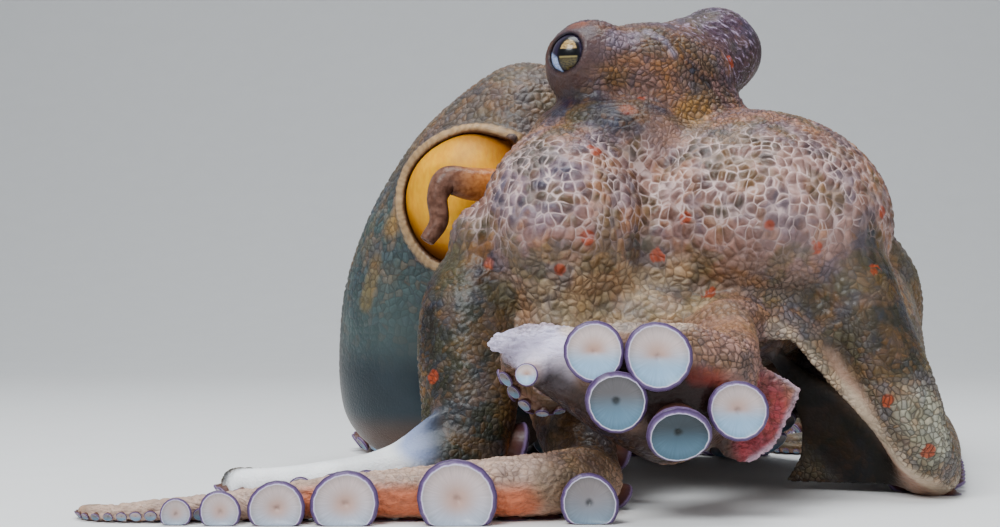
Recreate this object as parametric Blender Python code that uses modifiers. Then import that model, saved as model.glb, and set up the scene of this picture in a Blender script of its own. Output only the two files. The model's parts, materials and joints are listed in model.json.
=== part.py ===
"""Common octopus sitting with one arm held up in front, life size, as a still museum model.

Every size below is in millimetres and is turned into metres by at() and MM. X runs to the right,
Y away from the viewer and Z up, and the arms lie on the floor at Z = 0.
"""

import math

import bmesh
import bpy
import numpy as np
from mathutils import Matrix, Vector

MM = 0.001
GAP = 0.3

# The forms are laid out from the front plane that the foremost suckers touch. These two bring
# the middle of the whole animal's outline to the origin.
MIDDLE_X = 39.3
MIDDLE_Y = 189.2

# Head, with its long axis from the right eye to the left eye turned away from the front.
HEAD_TURN = math.radians(32)
HEAD = {"centre": (62, 133, 163), "radii": (38, 27, 22)}
NECK = {"centre": (66, 134, 143), "radii": (37, 31, 26)}
RIGHT_MOUND = {"centre": (36, 117, 166), "radius": 18.5}
LEFT_MOUND = {"centre": (88, 150, 174.5), "radius": 19}
BROW = {"centre": (76, 142, 170.5), "radii": (19, 16, 18)}
SHOULDER = {"centre": (45, 118, 132), "radii": (36, 34, 24)}
EYE_RADIUS = 9.0
EYE_SET = 11.5
RIGHT_EYE_LOOKS = (-0.60, -0.74, 0.22)
LEFT_EYE_LOOKS = (0.95, 0.30, 0.02)
LID = {"forward": 0.42, "ring": 0.93, "tube": 2.3}
HEAD_REGION = {"centre": (62, 133, 186), "radii": (64, 54, 49)}

# Arm crown: the domes made by the roots of the arms under the head.
CROWN_CORE = {"centre": (74, 135, 92), "radii": (66, 60, 52)}
RIGHT_LOBE = {"centre": (98.5, 122, 103), "radii": (57, 58, 46)}
LEFT_LOBE = {"centre": (25, 101, 99), "radii": (34, 44, 43)}
FLANK = {"centre": (-3, 100, 96), "radii": (17, 20, 17)}
MOUTH = {"centre": (75, 130, 40), "ring": 8.5, "tube": 3.6}

# Mantle: the bag behind the head, as stations of its middle line with a half width.
MANTLE_LINE = ((40, 158, 152), (22, 168, 139), (4, 177, 119), (-9, 186, 94), (-17, 192, 68), (-20, 195, 38),
               (-19, 196, -2))
MANTLE_GIRTH = (31, 39, 45, 49, 51, 50, 44)
MANTLE_SIDES = 28
MANTLE_DOME = 0.72
# The free edge of the mantle, as a closed loop; the mantle cavity opens inside it.
RIM_LOOP = ((6, 128, 138), (-12, 134, 142), (-28, 140, 136), (-37, 143, 126), (-40, 144, 113),
            (-36, 141, 99), (-27, 136, 89), (-17, 130, 87), (-4, 126, 100), (6, 125, 120))
RIM_FLANGE = {"front": 0, "back": 34, "grow": 3.2}
CAVITY = {"front": -30, "back": 18, "grow": -1.2}
LINING = {"centre": (-6, 156, 116), "radii": (36, 26, 36), "lean": math.radians(27), "front": -10}
FUNNEL_LINE = ((16, 128, 116), (0, 122, 118.5), (-12, 118, 119.5), (-21, 115.5, 120.5), (-24.5, 113.5, 114.5),
               (-24, 112, 104.5), (-28.5, 110.5, 97))
FUNNEL_GIRTH = (7.0, 7.0, 6.5, 5.6, 4.2, 3.8, 3.0)
FUNNEL_BORE = {"radius": 1.8, "depth": 6.0}

# Arms. Each route runs from the mouth to the floor; a height of None rests on the floor. The last
# point leads into a curl. "faces" says where the suckers look at each point of the route.
FACING = {
    "down": (0, 0, -1),
    "front": (0, -1, -0.12),
    "front_low": (0, -0.88, -0.48),
    "low_front": (0, -0.55, -0.84),
    "out_left": (-0.5, 0, -0.86),
    "out_right": (0.5, 0, -0.86),
}
ORAL_DEPTH = 0.80
ABORAL_DEPTH = 0.96
FLOOR_REST = 0.90
CURL_RATE = 0.12
TIP_RADIUS = 1.3
ARMS = {
    "arm_r1": {
        "route": ((86, 112, 76), (84, 90, 70), (80, 68, 58), (76, 44, 47), (70, 28, 42), (60, 22, 43),
                  (38, 18, 49), (20, 19, 54), (8, 25, 58), (4, 34, 57), (5, 42, 48), (13, 46, 38),
                  (25, 46, 40), (26, 45, 49), (19, 45, 50)),
        "faces": ("down", "down", "front_low", "front_low", "front_low", "front", "front", "front", "front",
                  (-0.9, 0, 0.3), (-0.6, 0, -0.8), (0, 0, -1), (1, 0, -0.2), (0.5, 0, 0.8), (-0.7, 0, 0.7)),
        "girth": (20, 20, 20, 22, 24.5, 25, 19.5, 12.5, 8, 6.5, 5.8, 5, 3.8, 2.6, 1.2),
        "curl": None, "oral": 0.62, "aboral": 0.66,
    },
    "arm_r2": {
        "route": ((59, 108, 78), (32, 90, 88), (25, 82, 62), (26, 70, 38), (30, 54, 18), (29, 36, None),
                  (17, 21, None), (0, 16.5, None), (-25, 16, None), (-58, 15, None), (-92, 13, None),
                  (-132, 12, None)),
        "faces": ("down", (0.6, 0.5, -0.6), (0.6, 0.7, -0.3), (0.6, 0.6, -0.5), (0.3, -0.4, -0.8), "low_front",
                  "low_front", "low_front", "low_front", "low_front", "low_front", "low_front"),
        "girth": (20, 21, 19, 16, 13.6, 12.8, 12.4, 11.7, 10.2, 8.4, 5.6, 3.2), "curl": (14, 0.62, -1),
    },
    "arm_r3": {
        "route": ((46, 122, 78), (12, 108, 88), (-9, 93, 74), (-12, 84, 52), (-11, 76, 30), (-23, 62, None),
                  (-46, 51, None), (-72, 46, None)),
        "faces": ("down", (0.6, 0.7, -0.6), (0.5, 0.9, -0.3), (0.5, 0.9, -0.1), (0.6, 0.5, -0.6),
                  (-0.1, -0.3, -0.9), (0, -0.8, -0.6), (0, -0.8, -0.6)),
        "girth": (20, 22, 19.5, 19, 18.5, 15, 10.5, 8.5), "curl": (24, 1.2, -1),
    },
    "arm_r4": {
        "route": ((52, 150, 78), (47, 172, 64), (40, 196, 44), (33, 218, 20), (20, 248, None), (0, 282, None)),
        "faces": ("down", "down", (0, -0.5, -0.85), (0, -0.4, -0.9), "down", "out_right"),
        "root": 21.0, "taper": 1.15, "curl": (37, 2.2, 1),
    },
    "arm_l4": {
        "route": ((68, 158, 78), (68, 184, 66), (72, 208, 44), (72, 232, 18), (64, 262, None), (54, 300, None),
                  (48, 338, None)),
        "faces": ("down", (0, -0.4, -0.9), (0, -0.5, -0.85), (0, -0.4, -0.9), "down", "down", "out_right"),
        "root": 21.0, "taper": 1.15, "curl": (38, 2.2, 1),
    },
    "arm_l3": {
        "route": ((91, 155, 78), (106, 178, 70), (114, 202, 44), (112, 228, 18), (103, 258, None), (95, 290, None),
                  (95, 324, None)),
        "faces": ("down", (-0.3, -0.4, -0.8), (-0.3, -0.6, -0.7), (0, -0.4, -0.9), "down", "down", "out_left"),
        "root": 21.0, "taper": 1.25, "curl": (27, 2.0, -1),
    },
    "arm_l2": {
        "route": ((104, 138, 80), (136, 146, 94), (157, 152, 80), (159, 155, 54), (150, 168, 20), (147, 196, None),
                  (150, 226, None), (156, 252, None)),
        "faces": ("down", (-0.8, 0, -0.6), (-0.95, -0.1, -0.2), (-0.9, -0.2, -0.3), (-0.3, -0.5, -0.8), "down",
                  "down", "out_right"),
        "root": 21.5, "taper": 1.35, "curl": (17, 1.9, 1),
    },
    "arm_l1": {
        "route": ((100, 114, 80), (126, 99, 88), (138, 86, 62), (149, 77, 38), (155, 77, 22), (160, 84, 14),
                  (165, 102, None), (177, 150, None), (189, 202, None), (201, 256, None), (211, 304, None),
                  (214, 340, None)),
        "faces": ("down", (-0.7, 0.5, -0.5), (-0.8, 0.5, -0.3), (-0.8, 0.5, -0.3), (-0.7, 0.5, -0.5),
                  (-0.4, 0.2, -0.9), "down", "down", "down", "down", "down", "out_right"),
        "girth": (22, 21, 18.5, 15.5, 14, 13, 12.6, 12, 11.2, 10.2, 9.2, 8.6), "curl": (34, 2.1, 1),
    },
}
ARM_ORDER = ("arm_r2", "arm_r3", "arm_r1", "arm_r4", "arm_l4", "arm_l3", "arm_l2", "arm_l1")

# Webs join neighbouring arms: how far along each of the two arms the membrane's edge is rooted,
# and how deeply that edge is scooped between them.
WEBS = {
    ("arm_r1", "arm_r2"): (58, 92, 0.30),
    ("arm_r2", "arm_r3"): (105, 100, 0.25),
    ("arm_r3", "arm_r4"): (95, 95, 0.30),
    ("arm_r4", "arm_l4"): (95, 95, 0.25),
    ("arm_l4", "arm_l3"): (112, 112, 0.20),
    ("arm_l3", "arm_l2"): (122, 122, 0.14),
    ("arm_l2", "arm_l1"): (118, 108, 0.20),
    ("arm_l1", "arm_r1"): (90, 40, 0.36),
}
# Smaller sheets of web: in the bend of the right third arm, torn beside the raised arm, the curtain
# in front of the left first arm, and the fold that hangs behind that curtain.
SHEETS = {
    "bend": ((-14, 68, 38), (-26, 58, 33), (-42, 53, 20), (-64, 48, 14), (-40, 54, 6), (-18, 62, 6)),
    "flap": ((84, 42, 54), (98, 38, 50), (108, 36, 44), (98, 34, 24), (88, 31, 17), (76, 29, 20)),
    "curtain": ((97, 78, 78), (105, 70, 64), (118, 69, 48), (130, 69, 35), (145, 70, 18), (156, 73, 6),
                (162, 79, 12), (150, 82, 40), (138, 90, 66), (120, 94, 82)),
    "fold": ((100, 108, 62), (120, 100, 46), (152, 88, 30), (158, 92, 3), (130, 104, 2), (110, 110, 2), (116, 107, 12),
             (117, 105, 24), (112, 105, 38), (104, 107, 52)),
}
WEB_THICKNESS = 5.0
WEB_START = 26.0

# Suckers stand in two rows, one each side of the line that the arm's suckers face along. Sizes
# are shares of the arm's radius.
SUCKER_ROW = math.radians(38)
SUCKER_LEAN = math.radians(24)
SUCKER_SIZE = 0.44
SUCKER_RISE = 0.30
SUCKER_SINK = 0.35
# The step from one sucker to the next grows with the arm's radius.
SUCKER_STEP = (8.0, 1.15)
# The large suckers that face the front: place of the rim's middle, and its radius.
FRONT_SUCKERS = {
    "arm_r1": (((31.6, 1.2, 58.3), 9.4), ((53.1, 0.6, 56.9), 10.7), ((80.5, 5.0, 38.3), 9.8),
               ((39.0, 0.6, 40.8), 10.4), ((59.8, 0.6, 29.4), 10.4), ((8.8, 6.0, 50.5), 3.7)),
    "arm_r2": (((30.2, 4.5, 7.2), 9.2), ((-14.4, 0.8, 8.6), 12.6), ((-52.1, 0.8, 7.2), 10.6),
               ((-75.0, 0.8, 5.8), 8.8), ((-94.0, 1.5, 4.6), 6.6), ((-109.0, 2.5, 3.8), 5.0)),
}
FRONT_SUCKER = {"sink": 11.0, "dish": 2.2, "sides": 12}
# Where along an arm the large ones take the place of both rows, or of the front row alone, and where
# the web lies against the left first arm, so that no sucker fits.
FRONT_SPANS = {"arm_r1": (60, 180, "both"), "arm_r2": (132, 272, "front"), "arm_l1": (80, 130, "both")}
ROW_START = 62.0

# How finely the blended body and the free arms are cut into faces.
BODY_VOXEL = 2.6
BODY_SMOOTHING = 5
BODY_TRIANGLES = 4000
BODY_REACH = {"arm_r1": 150, "arm_r2": 166, "arm_r3": 166, "arm_r4": 112, "arm_l4": 112, "arm_l3": 112,
              "arm_l2": 118, "arm_l1": 152}
BASE_START = {"arm_r1": 58, "arm_r2": 84, "arm_r3": 74, "arm_r4": 70, "arm_l4": 70, "arm_l3": 70,
              "arm_l2": 74, "arm_l1": 74}
# How far the region that parts an arm from the body reaches past the arm's skin.
REGION_GROW = {"arm_r1": 12.0}
LENGTH_NAMES = ("mid", "outer", "tip")
LENGTH_SHARES = (0, 0.22, 0.52, 1)
# Length of the steps along the free parts of an arm, and the corners of its cross-section.
FREE_CUTS = {"mid": (15.0, 7), "outer": (13.0, 7), "tip": (9.0, 5)}
PATH_STEP = 2.0
FLAT_ANGLE = math.radians(0.6)
FLAT_CHANGE = 1e-4

# Base colour and roughness of each surface, and the nodes that don't have the arms' skin.
SKINS = {
    "crown_skin": ((0.30, 0.21, 0.17), 0.48),
    "mantle_skin": ((0.20, 0.23, 0.20), 0.50),
    "arm_skin": ((0.42, 0.28, 0.19), 0.45),
    "eye_glass": ((0.36, 0.29, 0.10), 0.15),
    "funnel_skin": ((0.36, 0.17, 0.08), 0.40),
    "lining_skin": ((0.80, 0.50, 0.12), 0.40),
}
NODE_SKINS = {"web": "crown_skin", "head": "crown_skin", "mantle": "mantle_skin", "eye_right": "eye_glass",
              "eye_left": "eye_glass", "funnel": "funnel_skin", "mantle_lining": "lining_skin"}


def at(x, y, z):
    """A place given in millimetres from the front plane, as a point of the part in metres."""
    return Vector(((x - MIDDLE_X) * MM, (y - MIDDLE_Y) * MM, z * MM))


def unit(v):
    v = np.asarray(v, float)
    return v / max(np.linalg.norm(v), 1e-9)


def clear_scene():
    for obj in list(bpy.data.objects):
        bpy.data.objects.remove(obj, do_unlink=True)


def new_collection(name, shown=True):
    made = bpy.data.collections.new(name)
    bpy.context.scene.collection.children.link(made)
    made.hide_render = not shown
    return made


def flesh(name, colour, roughness=0.45):
    made = bpy.data.materials.new(name)
    made.use_nodes = True
    shader = made.node_tree.nodes["Principled BSDF"]
    shader.inputs["Base Color"].default_value = (*colour, 1)
    shader.inputs["Roughness"].default_value = roughness
    shader.inputs["Metallic"].default_value = 0
    return made


def paint(node):
    """Gives a node its one material."""
    node.data.materials.clear()
    node.data.materials.append(skins[NODE_SKINS.get(node.name, "arm_skin")])
    for face in node.data.polygons:
        face.material_index = 0


def object_of(name, mesh, collection):
    obj = bpy.data.objects.new(name, mesh)
    collection.objects.link(obj)
    return obj


def from_bmesh(name, bm, collection):
    bmesh.ops.recalc_face_normals(bm, faces=bm.faces)
    if bm.calc_volume(signed=True) < 0:
        bmesh.ops.reverse_faces(bm, faces=bm.faces)
    mesh = bpy.data.meshes.new(name)
    bm.to_mesh(mesh)
    bm.free()
    return object_of(name, mesh, collection)


def ellipsoid(name, form, collection, turn=0.0, lean=0.0, grow=0.0, rings=14):
    """A closed ball of the form's centre and three radii, turned about Z and leant about Y."""
    radii = form.get("radii", (form.get("radius"),) * 3)
    bm = bmesh.new()
    bmesh.ops.create_uvsphere(bm, u_segments=rings * 2, v_segments=rings, radius=1)
    size = Matrix.Diagonal([(r + grow) * MM for r in radii] + [1])
    place = Matrix.Translation(at(*form["centre"]))
    bm.transform(place @ Matrix.Rotation(turn, 4, "Z") @ Matrix.Rotation(lean, 4, "Y") @ size)
    return from_bmesh(name, bm, collection)


def smooth_line(points, step):
    """A centripetal Catmull-Rom curve through the points, sampled evenly, with each sample's place
    along the points' own numbering."""
    p = np.array(points, float)
    p = np.vstack([2 * p[0] - p[1], p, 2 * p[-1] - p[-2]])
    knots = np.concatenate([[0], np.cumsum(np.sqrt(np.linalg.norm(np.diff(p, axis=0), axis=1)))])
    fine, order = [], []
    for i in range(1, len(p) - 2):
        for t in np.linspace(knots[i], knots[i + 1], 24, endpoint=False):
            fine.append(catmull(p[i - 1:i + 3], knots[i - 1:i + 3], t))
            order.append(i - 1 + (t - knots[i]) / (knots[i + 1] - knots[i]))
    fine.append(p[-2])
    order.append(len(p) - 3)
    fine, order = np.array(fine), np.array(order)
    along = np.concatenate([[0], np.cumsum(np.linalg.norm(np.diff(fine, axis=0), axis=1))])
    even = np.linspace(0, along[-1], max(4, int(round(along[-1] / step)) + 1))
    places = np.stack([np.interp(even, along, fine[:, k]) for k in range(3)], axis=1)
    return places, np.interp(even, along, order), even


def catmull(p, k, t):
    a = [(k[i + 1] - t) / (k[i + 1] - k[i]) * p[i] + (t - k[i]) / (k[i + 1] - k[i]) * p[i + 1] for i in range(3)]
    b = [(k[i + 2] - t) / (k[i + 2] - k[i]) * a[i] + (t - k[i]) / (k[i + 2] - k[i]) * a[i + 1] for i in range(2)]
    return (k[2] - t) / (k[2] - k[1]) * b[0] + (t - k[1]) / (k[2] - k[1]) * b[1]


def curl_points(last, before, radius, turns, way):
    """A closing spiral on the floor that leaves the route's last point in the route's direction."""
    heading = unit((last[0] - before[0], last[1] - before[1]))
    inward = way * np.array((-heading[1], heading[0]))
    centre = np.array(last[:2]) + radius * inward
    start = math.atan2(-inward[1], -inward[0])
    points = []
    for i in range(1, int(turns * 12) + 1):
        angle = i / 12 * math.tau
        r = radius * math.exp(-CURL_RATE * angle)
        points.append((centre[0] + r * math.cos(start + way * angle), centre[1] + r * math.sin(start + way * angle), 0))
    return points, centre


def trace_arm(spec):
    """The arm's middle line, its radius, and the directions of its suckers and sides at each sample."""
    route = [(x, y, 0 if z is None else z) for x, y, z in spec["route"]]
    rests = [z is None for x, y, z in spec["route"]]
    faces = [np.array(FACING.get(f, f) if isinstance(f, str) else f, float) for f in spec["faces"]]
    if spec["curl"]:
        coil, centre = curl_points(route[-1], route[-2], *spec["curl"])
        route += coil
        rests += [True] * len(coil)
        for x, y, z in coil:
            outward = unit((x - centre[0], y - centre[1], 0))
            faces.append(0.5 * outward + np.array((0, 0, -0.86)))
    places, order, along = smooth_line(route, PATH_STEP)
    share = along / along[-1]
    if "girth" in spec:
        known = [*range(len(spec["girth"])), max(order[-1], len(spec["girth"]))]
        radii = np.interp(order, known, [*spec["girth"], TIP_RADIUS])
    else:
        radii = TIP_RADIUS + (spec["root"] - TIP_RADIUS) * (1 - share) ** spec["taper"]
    resting = np.interp(order, range(len(rests)), [float(r) for r in rests])
    places[:, 2] = places[:, 2] * (1 - resting) + FLOOR_REST * radii * resting
    tangents = np.gradient(places, axis=0)
    tangents /= np.linalg.norm(tangents, axis=1)[:, None]
    looks = np.stack([np.interp(order, range(len(faces)), [f[k] for f in faces]) for k in range(3)], axis=1)
    looks -= np.sum(looks * tangents, axis=1)[:, None] * tangents
    looks /= np.linalg.norm(looks, axis=1)[:, None]
    return {"places": places, "along": along, "radii": radii, "looks": looks,
            "sides": np.cross(tangents, looks), "oral": spec.get("oral", ORAL_DEPTH),
            "aboral": spec.get("aboral", ABORAL_DEPTH)}


def station(arm, distance):
    """Middle, radius, sucker direction and side direction of an arm at a distance along it."""
    pick = lambda key: np.array([np.interp(distance, arm["along"], arm[key][:, k]) for k in range(3)])
    return pick("places"), float(np.interp(distance, arm["along"], arm["radii"])), unit(pick("looks")), unit(pick("sides"))


def ring_of(arm, distance, grow, sides):
    """The arm's cross-section: round above, and flatter on the side of the suckers."""
    middle, radius, looks, side = station(arm, distance)
    ring = []
    for i in range(sides):
        angle = math.tau * (i + 0.5) / sides
        across, down = math.cos(angle), math.sin(angle)
        depth = arm["oral"] if down > 0 else arm["aboral"]
        ring.append(middle + (radius * 1.04 + grow) * across * side + (radius * depth + grow) * down * looks)
    return ring


def arm_tube(name, arm, distances, collection, sides, grow=0.0):
    """A closed length of an arm with a ring at each distance, and a point at the arm's own tip."""
    bm = bmesh.new()
    rings = [[bm.verts.new(at(*p)) for p in ring_of(arm, d, grow, sides)] for d in distances]
    for one, two in zip(rings, rings[1:]):
        for i in range(sides):
            j = (i + 1) % sides
            bm.faces.new((one[i], one[j], two[j], two[i]))
    bm.faces.new(rings[0])
    bm.faces.new(rings[-1])
    bmesh.ops.triangulate(bm, faces=bm.faces)
    return from_bmesh(name, bm, collection)


def bag(name, line, girths, collection, sides, grow=0.0, step=5.0):
    """The mantle: rings of the given half widths round a bent line, closed by domes."""
    girths = np.array(girths, float) + grow
    places, order, along = smooth_line(line, step)
    radii = np.interp(order, range(len(girths)), girths)
    for end, inward in ((0, 1), (-1, -1)):
        dome = radii[end] * MANTLE_DOME
        reach = np.abs(along - along[end])
        radii *= np.sqrt(np.clip(1 - np.clip(1 - reach / dome, 0, 1) ** 2, 0.02, 1))
    tangents = np.gradient(places, axis=0)
    bm = bmesh.new()
    rings = []
    for place, tangent, radius in zip(places, tangents, radii):
        side = unit(np.cross(tangent, (0, 1, 0)))
        deep = unit(np.cross(side, tangent))
        rings.append([bm.verts.new(at(*(place + radius * (math.cos(a) * side + math.sin(a) * deep))))
                      for a in np.linspace(0, math.tau, sides, endpoint=False)])
    for one, two in zip(rings, rings[1:]):
        for i in range(sides):
            j = (i + 1) % sides
            bm.faces.new((one[i], one[j], two[j], two[i]))
    bm.faces.new(rings[0])
    bm.faces.new(rings[-1])
    bmesh.ops.triangulate(bm, faces=bm.faces)
    return from_bmesh(name, bm, collection)


def web_sheet(name, one, two, collection):
    """The membrane between two arms, bowed outwards from the mouth, with a scooped free edge."""
    reach_one, reach_two, scoop = WEBS[(one, two)]
    rows, columns = 12, 9
    centre = np.array(CROWN_CORE["centre"], float)
    bm = bmesh.new()
    grid = []
    for i in range(rows + 1):
        line = []
        for j in range(columns + 1):
            across = j / columns
            pull = 1 - scoop * 4 * across * (1 - across)
            share = i / rows * pull
            a, ra = station(arms[one], WEB_START + (reach_one - WEB_START) * share)[:2]
            b, rb = station(arms[two], WEB_START + (reach_two - WEB_START) * share)[:2]
            place = a * (1 - across) + b * across
            out = unit((place - centre) * (1, 1, 0.3))
            bow = 4 * across * (1 - across)
            place = place + out * ((ra + rb) * 0.20 + bow * np.linalg.norm(a - b) * 0.10)
            line.append(bm.verts.new(at(*place)))
        grid.append(line)
    for i in range(rows):
        for j in range(columns):
            bm.faces.new((grid[i][j], grid[i][j + 1], grid[i + 1][j + 1], grid[i + 1][j]))
    sheet = from_bmesh(name, bm, collection)
    solid = sheet.modifiers.new("thickness", "SOLIDIFY")
    solid.thickness = WEB_THICKNESS * MM
    solid.offset = 0
    return sheet


def applied(obj):
    """Replaces an object's mesh by the one that its modifiers give."""
    graph = bpy.context.evaluated_depsgraph_get()
    mesh = bpy.data.meshes.new_from_object(obj.evaluated_get(graph))
    obj.modifiers.clear()
    obj.data = mesh
    return obj


def boolean(obj, other, operation):
    """Joins, cuts or keeps the common part with another object, which is then removed."""
    step = obj.modifiers.new("step", "BOOLEAN")
    step.operation = operation
    step.solver = "MANIFOLD"
    step.object = other
    applied(obj)
    bpy.data.objects.remove(other, do_unlink=True)
    return obj


def union_of(obj, pieces):
    """One union of an object with every object of a collection, which is then emptied."""
    step = obj.modifiers.new("join", "BOOLEAN")
    step.operation = "UNION"
    step.solver = "MANIFOLD"
    step.operand_type = "COLLECTION"
    step.collection = pieces
    applied(obj)
    for piece in list(pieces.objects):
        bpy.data.objects.remove(piece, do_unlink=True)
    return obj


def keep_largest(obj):
    """Drops loose scraps that a cut left behind, and seals hollows."""
    bm = bmesh.new()
    bm.from_mesh(obj.data)
    left, islands = set(bm.faces), []
    while left:
        seed = left.pop()
        island, front = {seed}, [seed]
        while front:
            for edge in front.pop().edges:
                for face in edge.link_faces:
                    if face in left:
                        left.remove(face)
                        island.add(face)
                        front.append(face)
        islands.append(island)
    largest = max(islands, key=box_volume)
    bmesh.ops.delete(bm, geom=[f for f in bm.faces if f not in largest], context="FACES")
    bm.to_mesh(obj.data)
    bm.free()
    return obj


def box_volume(faces):
    spots = np.array([v.co for face in faces for v in face.verts])
    return float(np.prod(spots.max(0) - spots.min(0)))


def copy_of(obj, name, collection):
    return object_of(name, obj.data.copy(), collection)


def carve(rest, name, inner, outer, collection):
    """Parts a node from what is left of the body: the node takes what lies in one region, and the
    rest loses the same region grown by the gap."""
    node = copy_of(rest, name, collection)
    boolean(node, inner, "INTERSECT")
    keep_largest(node)
    boolean(rest, outer, "DIFFERENCE")
    keep_largest(rest)
    return node


def box(name, low, high, collection):
    bm = bmesh.new()
    bmesh.ops.create_cube(bm, size=1)
    low, high = at(*low), at(*high)
    bm.transform(Matrix.Translation((low + high) / 2) @ Matrix.Diagonal([*(high - low), 1]))
    return from_bmesh(name, bm, collection)


def merge_flats(obj):
    """Fewer faces where the cuts left many in one plane, kept only if the surface stays closed and the
    same size."""
    fine = obj.data.copy()
    flat = obj.modifiers.new("flats", "DECIMATE")
    flat.decimate_type = "DISSOLVE"
    flat.angle_limit = FLAT_ANGLE
    applied(obj)
    before, after = bmesh.new(), bmesh.new()
    before.from_mesh(fine)
    after.from_mesh(obj.data)
    bmesh.ops.triangulate(after, faces=after.faces)
    closed = all(len(edge.link_faces) == 2 for edge in after.edges)
    change = abs(after.calc_volume() / before.calc_volume() - 1)
    (after if closed and change < FLAT_CHANGE else before).to_mesh(obj.data)
    before.free()
    after.free()


def floor_cut(obj, collection):
    """Trims what dips under the floor, which leaves the small flats that the animal rests on."""
    ground = box("ground", (-400, -300, -60), (600, 700, 0), collection)
    return boolean(obj, ground, "DIFFERENCE")


def rim_plug(name, front, back, grow, collection):
    """A closed prism with the outline of the mantle's free edge, widened or narrowed all round."""
    loop = smooth_line(RIM_LOOP + RIM_LOOP[:1], 6.0)[0][:-1]
    middle = loop.mean(axis=0)
    outward = loop - middle
    outward[:, 1] = 0
    outward /= np.linalg.norm(outward, axis=1)[:, None]
    bm = bmesh.new()
    rings = [[bm.verts.new(at(*(p + grow * out + (0, depth, 0)))) for p, out in zip(loop, outward)]
             for depth in (front, back)]
    for i in range(len(loop)):
        j = (i + 1) % len(loop)
        bm.faces.new((rings[0][i], rings[0][j], rings[1][j], rings[1][i]))
    bm.faces.new(rings[0])
    bm.faces.new(rings[1])
    bmesh.ops.triangulate(bm, faces=bm.faces)
    return from_bmesh(name, bm, collection)


def slab(name, corners, thickness, collection):
    """A thin closed sheet with the given corners."""
    bm = bmesh.new()
    bm.faces.new([bm.verts.new(at(*corner)) for corner in corners])
    sheet = from_bmesh(name, bm, collection)
    solid = sheet.modifiers.new("thickness", "SOLIDIFY")
    solid.thickness = thickness * MM
    solid.offset = 0
    return sheet


def head_forms(forms):
    ellipsoid("head_form", HEAD, forms, turn=HEAD_TURN)
    ellipsoid("neck_form", NECK, forms, turn=HEAD_TURN)
    ellipsoid("right_mound", RIGHT_MOUND, forms)
    ellipsoid("left_mound", LEFT_MOUND, forms)
    ellipsoid("brow", BROW, forms)
    ellipsoid("shoulder", SHOULDER, forms)


def crown_forms(forms):
    ellipsoid("core", CROWN_CORE, forms)
    ellipsoid("right_lobe", RIGHT_LOBE, forms)
    ellipsoid("left_lobe", LEFT_LOBE, forms)
    ellipsoid("flank", FLANK, forms)


def mantle_forms(forms):
    bag("mantle_form", MANTLE_LINE, MANTLE_GIRTH, forms, MANTLE_SIDES)
    rim_plug("rim_form", RIM_FLANGE["front"], RIM_FLANGE["back"], RIM_FLANGE["grow"], forms)


def arm_forms(forms):
    for name in ARM_ORDER:
        arm_tube(name + "_form", arms[name], np.linspace(0, BODY_REACH[name] + 8, 25), forms, sides=14)
    for one, two in WEBS:
        web_sheet(one + two, one, two, forms)
    for name, corners in SHEETS.items():
        slab(name, corners, WEB_THICKNESS, forms)


def blended_body(forms, work):
    """All the overlapping forms as one smooth skin with few faces."""
    bpy.context.view_layer.update()
    bm = bmesh.new()
    graph = bpy.context.evaluated_depsgraph_get()
    for obj in forms.objects:
        mesh = obj.evaluated_get(graph).to_mesh()
        bm.from_mesh(mesh)
    for obj in list(forms.objects):
        bpy.data.objects.remove(obj, do_unlink=True)
    body = from_bmesh("body", bm, work)
    grid = body.modifiers.new("grid", "REMESH")
    grid.mode = "VOXEL"
    grid.voxel_size = BODY_VOXEL * MM
    soft = body.modifiers.new("soft", "SMOOTH")
    soft.factor = 0.5
    soft.iterations = BODY_SMOOTHING
    applied(body)
    fewer = body.modifiers.new("fewer", "DECIMATE")
    fewer.ratio = BODY_TRIANGLES / (2 * len(body.data.polygons))
    fewer.use_collapse_triangulate = True
    applied(body)
    return keep_largest(body)


def eye_centre(mound, looks):
    return tuple(np.array(mound["centre"]) + EYE_SET * unit(looks))


def torus(name, centre, looks, ring, tube, collection, wide=1.0, tall=1.0, segments=(16, 5)):
    """A closed ring whose axis points along looks."""
    turn = Vector(looks).to_track_quat("Z", "Y").to_matrix().to_4x4()
    bm = bmesh.new()
    around, across = segments
    rings = []
    for i in range(around):
        a = math.tau * i / around
        line = []
        for j in range(across):
            b = math.tau * j / across
            reach = ring + tube * math.cos(b)
            line.append(bm.verts.new((reach * math.cos(a) * wide * MM, reach * math.sin(a) * tall * MM,
                                      tube * math.sin(b) * MM)))
        rings.append(line)
    for i in range(around):
        one, two = rings[i], rings[(i + 1) % around]
        for j in range(across):
            k = (j + 1) % across
            bm.faces.new((one[j], one[k], two[k], two[j]))
    bm.transform(Matrix.Translation(at(*centre)) @ turn)
    return from_bmesh(name, bm, collection)


def add_lid(body, mound, looks):
    """The rim of skin round an eye, joined to the body; the eye's socket is cut afterwards."""
    looks = unit(looks)
    centre = np.array(eye_centre(mound, looks)) + looks * EYE_RADIUS * LID["forward"]
    ring = torus("lid", centre, looks, EYE_RADIUS * LID["ring"], LID["tube"], work, wide=1.08, tall=0.94)
    boolean(body, ring, "UNION")


def eyeball(name, mound, looks, collection, grow=0.0):
    ball = {"centre": eye_centre(mound, looks), "radius": EYE_RADIUS}
    return ellipsoid(name, ball, collection, grow=grow, rings=8)


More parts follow.
